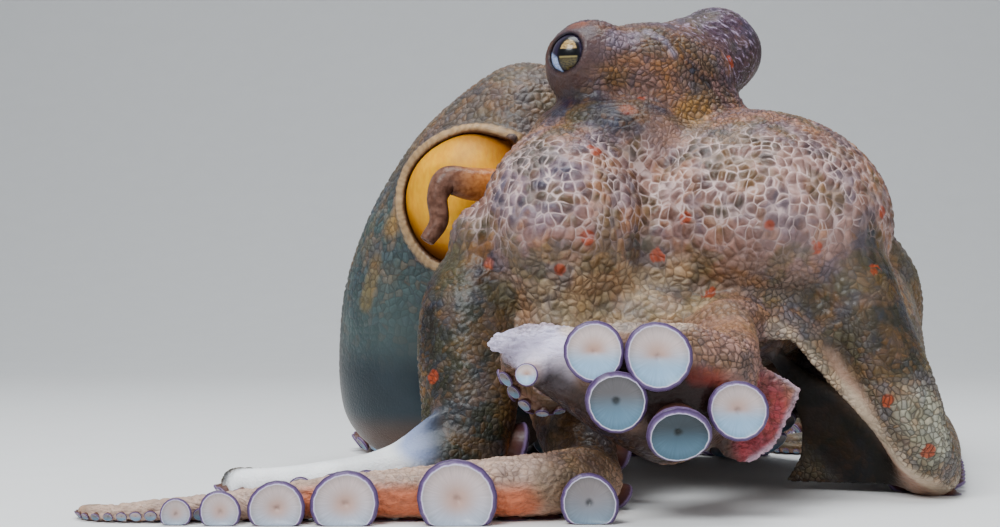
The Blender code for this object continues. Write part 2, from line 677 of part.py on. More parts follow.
def tube_along(name, line, girth, collection, sides=10, step=4.0, grow=0.0, back=0.0):
    """A closed round tube along a line of points, with a radius at each; its start can be drawn back."""
    places, order, along = smooth_line(line, step)
    girths = grow + np.interp(order, range(len(line)), girth)
    tangents = np.gradient(places, axis=0)
    places[0] -= back * unit(tangents[0])
    bm = bmesh.new()
    rings = []
    for place, tangent, radius in zip(places, tangents, girths):
        side = unit(np.cross(tangent, (0, 1, 0.2)))
        deep = unit(np.cross(side, tangent))
        rings.append([bm.verts.new(at(*(place + radius * (math.cos(a) * side + math.sin(a) * deep))))
                      for a in np.linspace(0, math.tau, sides, endpoint=False)])
    for one, two in zip(rings, rings[1:]):
        for i in range(sides):
            j = (i + 1) % sides
            bm.faces.new((one[i], one[j], two[j], two[i]))
    bm.faces.new(rings[0])
    bm.faces.new(rings[-1])
    bmesh.ops.triangulate(bm, faces=bm.faces)
    return from_bmesh(name, bm, collection)


def funnel_space():
    """The funnel grown by the gap, which its neighbours are cut by."""
    return tube_along("funnel_space", FUNNEL_LINE, FUNNEL_GIRTH, work, grow=1.5 * GAP, back=GAP)


def funnel_node():
    """The siphon: a soft tube that bends down out of the mantle opening, open at its end."""
    node = tube_along("funnel", FUNNEL_LINE, FUNNEL_GIRTH, octopus)
    end = np.array(FUNNEL_LINE[-1], float)
    way = unit(end - FUNNEL_LINE[-2])
    bore = tube_along("bore", [end - way * FUNNEL_BORE["depth"], end, end + way * 6],
                      [FUNNEL_BORE["radius"]] * 3, work, sides=8)
    return boolean(node, bore, "DIFFERENCE")


def lining_node():
    """The soft bulge that shows inside the mantle opening."""
    node = rim_plug("mantle_lining", LINING["front"], CAVITY["back"] - GAP, CAVITY["grow"] - GAP, octopus)
    bulge = ellipsoid("bulge", LINING, work, lean=LINING["lean"])
    boolean(node, bulge, "INTERSECT")
    boolean(node, funnel_space(), "DIFFERENCE")
    return keep_largest(node)


def turned(direction, towards, angle):
    return unit(math.cos(angle) * direction + math.sin(angle) * towards)


def row_suckers(name):
    """Every sucker of an arm's two rows: its place along the arm, its skin point, axis and radius."""
    arm = arms[name]
    low, high, what = FRONT_SPANS.get(name, (0, 0, "both"))
    distance, row, found = ROW_START, 1, []
    while distance < arm["along"][-1] - 1.5:
        middle, radius, looks, side = station(arm, distance)
        taken = low < distance < high and (what == "both" or row > 0)
        if not taken:
            across = radius * 1.04 * math.sin(SUCKER_ROW) * row * side
            skin = middle + across + radius * arm["oral"] * math.cos(SUCKER_ROW) * looks
            found.append((distance, skin, turned(looks, row * side, SUCKER_LEAN), radius))
        distance += SUCKER_STEP[0] + SUCKER_STEP[1] * radius
        row = -row
    return found


def sucker(rim, axis, radius, depth, sides, dish, collection):
    """A cup on a short stalk. The rim's middle is at rim and the stalk's foot is depth below it."""
    turn = Vector(unit(axis)).to_track_quat("Z", "Y").to_matrix().to_4x4()
    bm = bmesh.new()
    profile = [(0.72, -depth), (1.0, 0.0)] + ([(0.5, -dish)] if dish else [])
    rings = []
    for share, height in profile:
        rings.append([bm.verts.new((radius * share * math.cos(a) * MM, radius * share * math.sin(a) * MM, height * MM))
                      for a in np.linspace(0, math.tau, sides, endpoint=False)])
    for one, two in zip(rings, rings[1:]):
        for i in range(sides):
            j = (i + 1) % sides
            bm.faces.new((one[i], one[j], two[j], two[i]))
    bm.faces.new(rings[0])
    bm.faces.new(rings[-1])
    bmesh.ops.triangulate(bm, faces=bm.faces)
    bm.transform(Matrix.Translation(at(*rim)) @ turn)
    return from_bmesh("sucker", bm, collection)


def place_along(arm, point):
    """How far along an arm its middle line passes nearest to a point."""
    return arm["along"][np.argmin(np.linalg.norm(arm["places"] - np.array(point), axis=1))]


def add_suckers(node, name, low, high):
    """Joins to one length of an arm the suckers that grow between two distances along it."""
    arm = arms[name]
    for distance, skin, axis, radius in row_suckers(name):
        size = SUCKER_SIZE * radius + 0.3
        if low <= distance < high:
            inside = min(max(distance, low + size + 2 * GAP), high - size - 2 * GAP)
            skin = skin + station(arm, inside)[0] - station(arm, distance)[0]
            rise, sink = SUCKER_RISE * radius, SUCKER_SINK * radius
            sides = 5 if radius > 6 else 4
            sucker(skin + axis * rise, axis, size, rise + sink, sides, 0, pieces)
    for rim, size in FRONT_SUCKERS.get(name, ()):
        if low <= place_along(arm, rim) < high:
            sucker(rim, (0, -1, 0), size, FRONT_SUCKER["sink"], FRONT_SUCKER["sides"], FRONT_SUCKER["dish"], pieces)
    if pieces.objects:
        union_of(node, pieces)


def arm_nodes(body, name):
    """The four lengths of an arm: the first is parted from the body, the others are free."""
    arm, start, end = arms[name], BASE_START[name], BODY_REACH[name]
    grow = REGION_GROW.get(name, 4.0)
    cuts = list(np.linspace(start, end, 7))
    inner = arm_tube("inner", arm, cuts, work, sides=10, grow=grow)
    cuts = [start - GAP, *cuts[1:], *(end + np.array((8, 16, 24)))]
    outer = arm_tube("outer", arm, cuts, work, sides=10, grow=grow + GAP)
    nodes = [carve(body, name + "_base", inner, outer, octopus)]
    add_suckers(nodes[0], name, start, end)
    length = arm["along"][-1]
    cuts = [end + (length - end) * share for share in LENGTH_SHARES]
    for label, low, high in zip(LENGTH_NAMES, cuts, cuts[1:]):
        step, sides = FREE_CUTS[label]
        distances = np.linspace(low + GAP, high, max(3, round((high - low) / step)))
        nodes.append(arm_tube(f"{name}_{label}", arm, distances, octopus, sides=sides))
        add_suckers(nodes[-1], name, low + GAP, high)
    return nodes


def whole_body():
    """The blended body with its lids and lips, its eye sockets and the mantle cavity."""
    head_forms(forms)
    crown_forms(forms)
    mantle_forms(forms)
    arm_forms(forms)
    body = blended_body(forms, work)
    add_lid(body, RIGHT_MOUND, RIGHT_EYE_LOOKS)
    add_lid(body, LEFT_MOUND, LEFT_EYE_LOOKS)
    lips = torus("lips", MOUTH["centre"], (0, 0, -1), MOUTH["ring"], MOUTH["tube"], work)
    boolean(body, lips, "UNION")
    boolean(body, eyeball("socket", RIGHT_MOUND, RIGHT_EYE_LOOKS, work, grow=GAP), "DIFFERENCE")
    boolean(body, eyeball("socket", LEFT_MOUND, LEFT_EYE_LOOKS, work, grow=GAP), "DIFFERENCE")
    boolean(body, rim_plug("cavity", CAVITY["front"], CAVITY["back"], CAVITY["grow"], work), "DIFFERENCE")
    boolean(body, funnel_space(), "DIFFERENCE")
    return keep_largest(body)


def build():
    body = whole_body()
    nodes = []
    for name in ARM_ORDER:
        nodes += arm_nodes(body, name)
    head_in = ellipsoid("head_in", HEAD_REGION, work, rings=9)
    head_out = ellipsoid("head_out", HEAD_REGION, work, grow=GAP, rings=9)
    nodes.append(carve(body, "head", head_in, head_out, octopus))
    mantle_in = bag("mantle_in", MANTLE_LINE, MANTLE_GIRTH, work, 14, grow=6.0, step=14.0)
    mantle_out = bag("mantle_out", MANTLE_LINE, MANTLE_GIRTH, work, 14, grow=6.0 + GAP, step=14.0)
    nodes.append(carve(body, "mantle", mantle_in, mantle_out, octopus))
    body.name = "web"
    octopus.objects.link(body)
    work.objects.unlink(body)
    nodes.append(body)
    nodes.append(eyeball("eye_right", RIGHT_MOUND, RIGHT_EYE_LOOKS, octopus))
    nodes.append(eyeball("eye_left", LEFT_MOUND, LEFT_EYE_LOOKS, octopus))
    nodes.append(funnel_node())
    nodes.append(lining_node())
    for node in nodes:
        floor_cut(node, work)
        keep_largest(node)
        merge_flats(node)
        paint(node)


clear_scene()
octopus = new_collection("octopus")
work = new_collection("work", shown=False)
forms = new_collection("forms", shown=False)
pieces = new_collection("pieces", shown=False)
arms = {name: trace_arm(ARMS[name]) for name in ARM_ORDER}
skins = {name: flesh(name, colour, roughness) for name, (colour, roughness) in SKINS.items()}
build()
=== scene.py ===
"""Looks of the common octopus: one fine skin, its suckers, eyes and funnel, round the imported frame.

Sizes are in millimetres from the front plane that the foremost suckers touch, as in the model's own
source, and at() turns them into the frame's metres.
"""

import json
import math

import bmesh
import bpy
import numpy as np
from mathutils import Matrix, Vector, kdtree

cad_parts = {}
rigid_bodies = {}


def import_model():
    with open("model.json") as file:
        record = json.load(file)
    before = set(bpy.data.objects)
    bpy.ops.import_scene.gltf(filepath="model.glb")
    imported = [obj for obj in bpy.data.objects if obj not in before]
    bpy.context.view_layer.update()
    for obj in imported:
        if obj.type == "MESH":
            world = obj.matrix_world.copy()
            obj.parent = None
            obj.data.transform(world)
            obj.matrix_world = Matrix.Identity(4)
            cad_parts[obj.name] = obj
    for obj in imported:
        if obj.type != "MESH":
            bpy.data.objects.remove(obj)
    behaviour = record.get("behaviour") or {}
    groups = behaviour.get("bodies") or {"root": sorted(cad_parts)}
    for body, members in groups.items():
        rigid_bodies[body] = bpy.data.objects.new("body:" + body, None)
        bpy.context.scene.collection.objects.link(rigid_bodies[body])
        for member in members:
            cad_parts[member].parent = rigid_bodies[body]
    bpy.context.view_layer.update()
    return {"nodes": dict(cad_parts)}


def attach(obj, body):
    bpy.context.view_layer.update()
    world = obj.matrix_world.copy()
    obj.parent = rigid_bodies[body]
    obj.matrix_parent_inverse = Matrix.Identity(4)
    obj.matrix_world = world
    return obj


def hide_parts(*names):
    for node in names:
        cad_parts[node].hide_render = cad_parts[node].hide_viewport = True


MM = 0.001
MIDDLE = np.array((39.3, 189.2, 0.0))
SEED = 7

# Head and eyes.
HEAD_TURN = math.radians(32)
HEAD = {"centre": (62, 133, 163), "radii": (38, 27, 22)}
NECK = {"centre": (66, 134, 143), "radii": (37, 31, 26)}
RIGHT_MOUND = {"centre": (36, 117, 166), "radius": 18.5}
LEFT_MOUND = {"centre": (88, 150, 174.5), "radius": 19}
BROW = {"centre": (76, 142, 170.5), "radii": (19, 16, 18)}
SHOULDER = {"centre": (45, 118, 132), "radii": (36, 34, 24)}
EYE_RADIUS = 9.0
EYE_SET = 11.5
IRIS = (0.43, 0.70)
IRIS_RISE = 0.10
# Each eye's mound, the way its socket looks and the way it gazes.
EYES = {
    "right_eye": (RIGHT_MOUND, (-0.60, -0.74, 0.22), (-0.32, -0.94, -0.12)),
    "left_eye": (LEFT_MOUND, (0.95, 0.30, 0.02), (0.95, 0.10, -0.02)),
}
LID = {"forward": 0.42, "ring": 0.93, "tube": 2.3}

# Crown of the arms under the head.
CROWN_CORE = {"centre": (74, 135, 92), "radii": (66, 60, 52)}
RIGHT_LOBE = {"centre": (98.5, 122, 103), "radii": (57, 58, 46)}
LEFT_LOBE = {"centre": (25, 101, 99), "radii": (34, 44, 43)}
FLANK = {"centre": (-3, 100, 96), "radii": (17, 20, 17)}
MOUTH = {"centre": (75, 130, 40), "ring": 8.5, "tube": 3.6}

# Mantle with its opening, and the funnel.
MANTLE_LINE = ((40, 158, 152), (22, 168, 139), (4, 177, 119), (-9, 186, 94), (-17, 192, 68), (-20, 195, 38),
               (-19, 196, -2))
MANTLE_GIRTH = (31, 39, 45, 49, 51, 50, 44)
MANTLE_DOME = 0.72
RIM_LOOP = ((6, 128, 138), (-12, 134, 142), (-28, 140, 136), (-37, 143, 126), (-40, 144, 113),
            (-36, 141, 99), (-27, 136, 89), (-17, 130, 87), (-4, 126, 100), (6, 125, 120))
RIM_RIBS = 52
RIB_HEIGHT = 0.12
RIB_SHADE = 0.16
RIM_FLANGE = {"front": 0, "back": 34, "grow": 3.2}
CAVITY = {"front": -30, "back": 18, "grow": -1.2}
LINING = {"centre": (-6, 156, 116), "radii": (36, 26, 36), "lean": math.radians(27)}
LINING_LIMIT = {"front": -10, "back": 17.7, "grow": -1.5}
# Where painted shade turns the lining brown: round its middle from one distance to the other, and up and to
# the right.
LINING_PAINTED_SHADE = {"middle": (-20, 130, 118), "reach": (15, 30), "way": (0.6, 0, 1), "span": (128, 144)}
FUNNEL_LINE = ((16, 128, 116), (0, 122, 118.5), (-12, 118, 119.5), (-21, 115.5, 120.5), (-24.5, 113.5, 114.5),
               (-24, 112, 104.5), (-28.5, 110.5, 97))
FUNNEL_GIRTH = (7.0, 7.0, 6.5, 5.6, 4.2, 3.8, 3.0)
FUNNEL_STEP = 0.6
FUNNEL_LIP = 0.5
FUNNEL_BORE = {"share": 0.6, "rings": 12}
OUTLINE_STEP = 3.0
RING_CORNERS = 40
# The pointed fold at the left end of the front arm and the flesh under it: centre and radii.
FOLDS = (((15, 20, 62.5), (13, 6, 5)), ((4, 21.5, 60.8), (8, 4.4, 4.2)), ((-0.5, 22, 60.2), (4.0, 3.0, 3.2)),
         ((17, 17, 53), (9, 7, 7)), ((11.5, 13, 51.0), (5.4, 6.0, 5.2)))
# Small lobes of skin in the corner of the opening: centre and radius.
FRILLS = (((4.5, 124, 137.5), 3.0), ((2.5, 122, 134.0), 2.2), ((4.0, 121, 130.5), 2.6),
          ((1.8, 119, 127.5), 2.0), ((3.5, 117, 124.5), 2.2))

# Arms: each route runs from the mouth to the floor, where a height of None rests on the floor.
FACING = {
    "down": (0, 0, -1),
    "front": (0, -1, -0.12),
    "front_low": (0, -0.88, -0.48),
    "low_front": (0, -0.55, -0.84),
    "out_left": (-0.5, 0, -0.86),
    "out_right": (0.5, 0, -0.86),
}
# Half an arm's width, and its depth on the suckers' side and away from it, as shares of its radius.
ARM_WIDTH = 1.04
ORAL_DEPTH = 0.80
ABORAL_DEPTH = 0.96
ARM_STEP = 2.5
ARM_CORNERS = 20
FLOOR_REST = 0.90
CURL_RATE = 0.12
TIP_RADIUS = 1.3
ARMS = {
    "arm_r1": {
        "route": ((86, 112, 76), (84, 90, 70), (80, 68, 58), (76, 44, 47), (70, 28, 42), (60, 22, 43),
                  (38, 18, 49), (20, 19, 54), (8, 25, 58), (4, 34, 57), (5, 42, 48), (13, 46, 38),
                  (25, 46, 40), (26, 45, 49), (19, 45, 50)),
        "faces": ("down", "down", "front_low", "front_low", "front_low", "front", "front", "front", "front",
                  (-0.9, 0, 0.3), (-0.6, 0, -0.8), (0, 0, -1), (1, 0, -0.2), (0.5, 0, 0.8), (-0.7, 0, 0.7)),
        "girth": (20, 20, 20, 22, 24.5, 25, 19.5, 12.5, 8, 6.5, 5.8, 5, 3.8, 2.6, 1.2),
        "curl": None, "oral": 0.62, "aboral": 0.66,
    },
    "arm_r2": {
        "route": ((59, 108, 78), (32, 90, 88), (25, 82, 62), (26, 70, 38), (30, 54, 18), (29, 36, None),
                  (17, 21, None), (0, 16.5, None), (-25, 16, None), (-58, 15, None), (-92, 13, None),
                  (-132, 12, None)),
        "faces": ("down", (0.6, 0.5, -0.6), (0.6, 0.7, -0.3), (0.6, 0.6, -0.5), (0.3, -0.4, -0.8),
                  "low_front", "low_front", "low_front", "low_front", "low_front", "low_front", "low_front"),
        "girth": (20, 21, 19, 16, 13.6, 12.8, 12.4, 11.7, 10.2, 8.4, 5.6, 3.2), "curl": (14, 0.62, -1),
    },
    "arm_r3": {
        "route": ((46, 122, 78), (12, 108, 88), (-9, 93, 74), (-12, 84, 52), (-11, 76, 30), (-23, 62, None),
                  (-46, 51, None), (-72, 46, None)),
        "faces": ("down", (0.6, 0.7, -0.6), (0.5, 0.9, -0.3), (0.5, 0.9, -0.1), (0.6, 0.5, -0.6),
                  (-0.1, -0.3, -0.9), (0, -0.8, -0.6), (0, -0.8, -0.6)),
        "girth": (20, 22, 19.5, 19, 18.5, 15, 10.5, 8.5), "curl": (24, 1.2, -1),
    },
    "arm_r4": {
        "route": ((52, 150, 78), (47, 172, 64), (40, 196, 44), (33, 218, 20), (20, 248, None),
                  (0, 282, None)),
        "faces": ("down", "down", (0, -0.5, -0.85), (0, -0.4, -0.9), "down", "out_right"),
        "root": 21.0, "taper": 1.15, "curl": (37, 2.2, 1),
    },
    "arm_l4": {
        "route": ((68, 158, 78), (68, 184, 66), (72, 208, 44), (72, 232, 18), (64, 262, None),
                  (54, 300, None), (48, 338, None)),
        "faces": ("down", (0, -0.4, -0.9), (0, -0.5, -0.85), (0, -0.4, -0.9), "down", "down", "out_right"),
        "root": 21.0, "taper": 1.15, "curl": (38, 2.2, 1),
    },
    "arm_l3": {
        "route": ((91, 155, 78), (106, 178, 70), (114, 202, 44), (112, 228, 18), (103, 258, None),
                  (95, 290, None), (95, 324, None)),
        "faces": ("down", (-0.3, -0.4, -0.8), (-0.3, -0.6, -0.7), (0, -0.4, -0.9), "down", "down",
                  "out_left"),
        "root": 21.0, "taper": 1.25, "curl": (27, 2.0, -1),
    },
    "arm_l2": {
        "route": ((104, 138, 80), (136, 146, 94), (157, 152, 80), (159, 155, 54), (150, 168, 20),
                  (147, 196, None), (150, 226, None), (156, 252, None)),
        "faces": ("down", (-0.8, 0, -0.6), (-0.95, -0.1, -0.2), (-0.9, -0.2, -0.3), (-0.3, -0.5, -0.8),
                  "down", "down", "out_right"),
        "root": 21.5, "taper": 1.35, "curl": (17, 1.9, 1),
    },
    "arm_l1": {
        "route": ((100, 114, 80), (126, 99, 88), (138, 86, 62), (149, 77, 38), (155, 77, 22), (160, 84, 14),
                  (165, 102, None), (177, 150, None), (189, 202, None), (201, 256, None), (211, 304, None),
                  (214, 340, None)),
        "faces": ("down", (-0.7, 0.5, -0.5), (-0.8, 0.5, -0.3), (-0.8, 0.5, -0.3), (-0.7, 0.5, -0.5),
                  (-0.4, 0.2, -0.9), "down", "down", "down", "down", "down", "out_right"),
        "girth": (22, 21, 18.5, 15.5, 14, 13, 12.6, 12, 11.2, 10.2, 9.2, 8.6), "curl": (34, 2.1, 1),
    },
}
WEBS = {
    ("arm_r1", "arm_r2"): (58, 92, 0.30),
    ("arm_r2", "arm_r3"): (105, 100, 0.25),
    ("arm_r3", "arm_r4"): (95, 95, 0.30),
    ("arm_r4", "arm_l4"): (95, 95, 0.25),
    ("arm_l4", "arm_l3"): (112, 112, 0.20),
    ("arm_l3", "arm_l2"): (122, 122, 0.14),
    ("arm_l2", "arm_l1"): (118, 108, 0.20),
    ("arm_l1", "arm_r1"): (90, 40, 0.36),
}
SHEETS = {
    "bend": ((-14, 68, 38), (-26, 58, 33), (-42, 53, 20), (-64, 48, 14), (-40, 54, 6), (-18, 62, 6)),
    "flap": ((84, 42, 54), (98, 38, 50), (108, 36, 44), (98, 34, 24), (88, 31, 17), (76, 29, 20)),
    "curtain": ((97, 78, 78), (105, 70, 64), (118, 69, 48), (130, 69, 35), (145, 70, 18), (156, 73, 6),
                (162, 79, 12), (150, 82, 40), (138, 90, 66), (120, 94, 82)),
    "fold": ((100, 108, 62), (120, 100, 46), (152, 88, 30), (158, 92, 3), (130, 104, 2), (110, 110, 2),
             (116, 107, 12), (117, 105, 24), (112, 105, 38), (104, 107, 52)),
}
WEB_THICKNESS = 4.4
WEB_START = 26.0
PATH_STEP = 2.0

# Suckers: two rows along each arm, as shares of the arm's radius, and the large ones that face the
# front, as the place of the rim's middle and its radius. The spans of an arm, in millimetres along
# it, are where large ones take the rows' place or no row can grow.
SUCKER_ROW = math.radians(38)
SUCKER_LEAN = math.radians(24)
SUCKER_RISE = 0.24
# A row sucker's radius, and the way to the next one: what every one has and the share of the arm's radius.
SUCKER_SIZE = (0.2, 0.44)
SUCKER_STEP = (0.5, 0.49)
FRONT_SUCKERS = {
    "arm_r1": (((31.6, 1.2, 58.3), 9.6), ((53.1, 0.6, 56.9), 10.7), ((80.5, 5.0, 38.3), 9.5),
               ((39.3, 1.6, 41.2), 9.9), ((60.3, 3.0, 29.6), 10.2), ((8.8, 6.0, 50.5), 3.7)),
    "arm_r2": (((30.2, 4.5, 7.2), 9.2), ((-14.4, 0.8, 8.6), 12.6), ((-52.1, 0.8, 7.2), 10.6),
               ((-75.0, 0.8, 5.8), 8.8), ((-94.0, 1.5, 4.6), 6.6), ((-109.0, 2.5, 3.8), 5.0)),
}
FRONT_SPANS = {"arm_r1": (60, 180, "both"), "arm_r2": (132, 272, "front"), "arm_l1": (60, 130, "both")}
ROW_START = 62.0

# Resolution of the skin and how strongly the joined forms are blended.
CUT_VOXEL = 1.3
SKIN_VOXEL = 0.9
BLEND_ROUNDS = 36
BLEND_FACTOR = 0.6

# Size of the skin's patterns and how far each is raised.
CELL_SIZE = 3.8
GRAIN_SIZE = 2.3
BUMP_SIZE = 3.1
STREAK_SIZE = 1.6
MOTTLE_SIZE = 15.0
MOTTLES = (("ochre", 0.38), ("slate", 0.5), ("olive", 0.55))
# How much each pattern's pieces differ in brightness, and how strongly some are ochre or slate.
SPECKLES = (("cells", "cell_tint", 0.7, 0.24), ("grains", "grain_tint", 0.6, 0.2),
            ("bumps", "bump_tint", 0.5, 0.14))
STREAK_STRETCH = (0.34, 1.0, 1.5)
STREAK_ANGLE = math.radians(-38)
WRINKLE_SIZE = 3.0
BROAD_SIZE = 24.0
RUN_SIZE = 4.0
# How unevenly cells and grains lie, from 0 to 1, and the slow swing that bends their rows.
CELL_DISORDER = 0.72
GRAIN_DISORDER = 0.78
SWING_SIZE = 9.0
SWING_REACH = 5.0
RELIEF = {"cells": 0.8, "grains": 0.7, "bumps": 0.6, "streaks": 0.6, "wrinkles": 0.9}

# Colours of the forms, as the red, green and blue of a screen.
TONES = {
    "crown": (142, 104, 92),
    "crown_low": (124, 112, 98),
    "head": (100, 72, 64),
    "head_top": (84, 64, 82),
    "mantle": (66, 80, 80),
    "mantle_top": (98, 86, 78),
    "mantle_low": (28, 38, 48),
    "mantle_back": (92, 84, 74),
    "rim": (172, 138, 98),
    # Painted shade on the walls inside the mantle's opening.
    "cavity": (64, 32, 14),
    "oral": (186, 146, 124),
    # Painted shade on flesh that faces down, off the arms and low on the body.
    "under": (96, 74, 62),
    "lid": (66, 50, 52),
    "socket": (24, 17, 26),
    # Dark pigment of cell middles and streaks, and painted shade in the gaps of cells, grains and bumps and
    # in wrinkle folds.
    "pigment_and_crevice_shade": (34, 24, 20),
    "net": (226, 198, 194),
    "lilac": (176, 156, 184),
    "orange": (158, 62, 28),
    "ochre": (162, 108, 50),
    "olive": (78, 74, 38),
    "slate": (72, 78, 100),
}
ROUGH_SHADE = 0.04
ARM_TONES = ((150, 112, 92), (180, 144, 120), (72, 68, 56), (98, 82, 68), (102, 84, 70), (100, 84, 74),
             (102, 92, 76), (118, 106, 90))

# Named patches of colour, some of them painted shade: places along them, their reach, colour, strength, and
# how smooth they are.
PATCHES = {
    "pale_arm_on_floor": (((-90, 46, 8), (-68, 44, 12), (-60, 44, 14), (-45, 46, 16), (-34, 54, 24)), 18,
                          (252, 253, 255), 1.0, 0.95),
    "blue_white_web": (((-29, 50, 23), (-27, 56, 34)), 12, (140, 158, 206), 0.9, 0.95),
    "bottom_arm_top": (((10, 16, 14), (-25, 16, 16), (-58, 15, 13), (-92, 13, 10), (-132, 12, 6)), 14,
                       (208, 178, 162), 0.8, 0.6),
    "between_low_suckers": (((-34, 6, 6), (-64, 6, 6), (8, 8, 6)), 10, (196, 92, 44), 0.8, 0.8),
    "olive_of_low_arm": (((19, 9, 13), (34, 24, 7)), 13, (112, 94, 66), 0.6, 0.4),
    "fold_of_front_arm": (((-3, 22, 60), (6, 20, 59), (17, 15, 60), (24, 13, 63)),
                          12, (218, 210, 240), 0.95, 0.7),
    "flesh_of_fold": (((12, 15, 52), (20, 12, 50)), 9, (214, 204, 220), 0.9, 0.9),
    "brown_fringe": (((4, 24, 47), (9, 20, 44)), 5, (140, 98, 62), 0.8, 0.0),
    # Painted shade under the fold of the front arm.
    "shade_below_fold": (((18, 15, 43), (22, 14, 40), (28, 14, 35), (38, 19, 27), (48, 17, 24), (62, 10, 24)), 17,
                   (32, 19, 17), 0.95, 0.6),
    "top_of_front_arm": (((24, 15, 67), (38, 14, 68), (48, 14, 67), (65, 19, 67)),
                         6, (214, 190, 172), 0.85, 0.2),
    # Painted shade between the large front suckers.
    "shade_between_front_suckers": (((44, 8, 52), (48, 8, 46), (54, 8, 42), (66, 9, 42), (66, 8, 34)), 16,
                              (34, 16, 16), 0.98, 0.9),
    "red_skin_right": (((66, 9, 50), (73, 11, 50), (80, 13, 47)), 5, (112, 36, 26), 0.8, 0.2),
    # Painted shade under the large front suckers.
    "shade_below_front_suckers": (((67, 3, 30), (72, 14, 26), (79, 27, 24), (84, 27, 22)),
                            12, (38, 24, 26), 0.9, 0.7),
    "right_of_front_arm": (((74, 17, 62), (87, 26, 60), (84, 17, 52), (92, 30, 54)),
                           13, (150, 114, 104), 0.85, 0.0),
    "flap": (((92, 34, 42), (99, 33, 33), (90, 30, 24)), 11, (166, 62, 70), 0.92, 0.4),
    "flap_edge": (((99, 38, 50), (107, 36, 44), (98, 34, 25), (88, 31, 18)),
                  3.5, (206, 176, 194), 0.8, 0.3),
    "left_lobe_lilac": (((7, 73, 123), (15, 63, 115), (22, 68, 129)), 22, (122, 106, 122), 0.75, 0.0),
    # Painted shade along a groove in the crown.
    "shade_in_groove": (((51, 80, 118), (50, 76, 112), (52, 75, 97), (52, 70, 75)), 6, (66, 44, 38), 0.8, 0.0),
    # Painted shade along a crease.
    "shade_in_crease": (((-5, 81, 99), (-6, 76, 81), (-4, 69, 62)), 6, (38, 25, 20), 0.85, 0.0),
    "crease_streak": (((-4, 78, 88),), 3, (190, 88, 34), 0.8, 0.0),
    # Painted shade under the eye mound and the head.
    "shade_under_the_eye": (((24, 106, 150), (33, 95, 148), (42, 91, 146), (53, 90, 143), (62, 92, 142)), 15,
                      (36, 31, 35), 0.95, 0.4),
    "ochre_neck": (((77, 106, 148), (74, 103, 145)), 9, (176, 122, 62), 0.75, 0.0),
    "reddish_neck": (((49, 91, 148),), 5, (138, 58, 34), 0.7, 0.0),
    "orange_head": (((48, 102, 160), (62, 104, 160)), 12, (136, 90, 58), 0.6, 0.0),
    # Painted shade along the crease between the eye mounds.
    "shade_in_head_crease": (((61, 114, 180), (67, 109, 172), (71, 108, 167), (76, 111, 163), (82, 114, 158)), 3.0,
                    (36, 26, 34), 0.8, 0.0),
    "head_streak": (((58, 113, 178), (64, 111, 174), (67, 109, 169)), 3.2, (168, 158, 184), 0.7, 0.2),
    "mound_top": (((44, 104, 175), (52, 109, 177)), 6, (150, 134, 152), 0.5, 0.0),
    "mantle_ochre": (((-48, 152, 104), (-45, 150, 112), (-42, 152, 122)), 9, (160, 118, 52), 0.6, 0.0),
    "mantle_ochre_low": (((-52, 158, 88), (-56, 160, 72)), 6, (130, 108, 58), 0.5, 0.0),
    # Painted shade, dark purple, low beside the right eye's mound.
    "shade_beside_right_eye": (((21, 110, 158), (16, 118, 150), (24, 106, 152)), 8, (40, 28, 44), 0.85, 0.3),
    # Painted shade along a valley in the flesh.
    "shade_in_valley": (((-33, 140, 93), (-27, 82, 74), (-28, 75, 55)), 8, (32, 29, 30), 0.75, 0.0),
    # The column's own olive, made near-black by painted shade.
    "column": (((-11, 68, 62), (-11, 62, 44), (-12, 55, 23)), 24, (42, 43, 36), 0.92, 0.45),
    # Painted shadow on the low arm's base behind the front arm.
    "shadow_behind_front_arm": (((16, 55, 28), (24, 50, 30), (36, 44, 26)), 20, (38, 31, 26), 0.9, 0.4),
    # Painted shade along the column's right edge.
    "shade_at_column_edge": (((4, 66, 60), (5, 62, 25)), 8, (34, 25, 18), 0.8, 0.0),
    "skirt_edge": (((102, 68, 64), (119, 66, 48), (131, 70, 35), (145, 68, 18), (158, 73, 7), (171, 84, 4)),
                   6, (196, 176, 152), 0.8, 0.0),
    "pale_skirt": (((155, 62, 34), (161, 65, 22)), 13, (176, 174, 154), 0.75, 0.0),
    "right_side": (((123, 74, 71), (130, 69, 63), (136, 66, 56)), 18, (58, 52, 44), 0.85, 0.2),
    "far_right": (((139, 79, 95), (146, 75, 74), (149, 67, 56)), 16, (34, 34, 26), 0.9, 0.3),
    # Painted shade in the hollow under the web.
    "shade_inside_web": (((112, 106, 40), (128, 101, 25), (143, 97, 9)), 20, (22, 20, 17), 0.98, 0.85),
    "over_the_eye": (((29, 109, 181), (31, 108, 181)), 4.5, (186, 96, 44), 0.8, 0.6),
    "over_the_arm": (((28, 64, 74), (48, 67, 71), (66, 72, 70), (82, 74, 70)),
                     7, (200, 168, 122), 0.6, 0.0),
    "lump": (((3, 67, 20),), 6, (160, 92, 48), 0.8, 0.0),
    "bright_crown": (((73, 83, 130), (96, 69, 122), (117, 67, 104)), 28, (166, 132, 126), 0.6, 0.0),
    "low_crown": (((23, 64, 76), (40, 67, 79), (67, 77, 78)), 18, (186, 162, 130), 0.7, 0.0),
    "frills": (((4, 121, 126),), 6, (206, 140, 92), 0.8, 0.5),
}
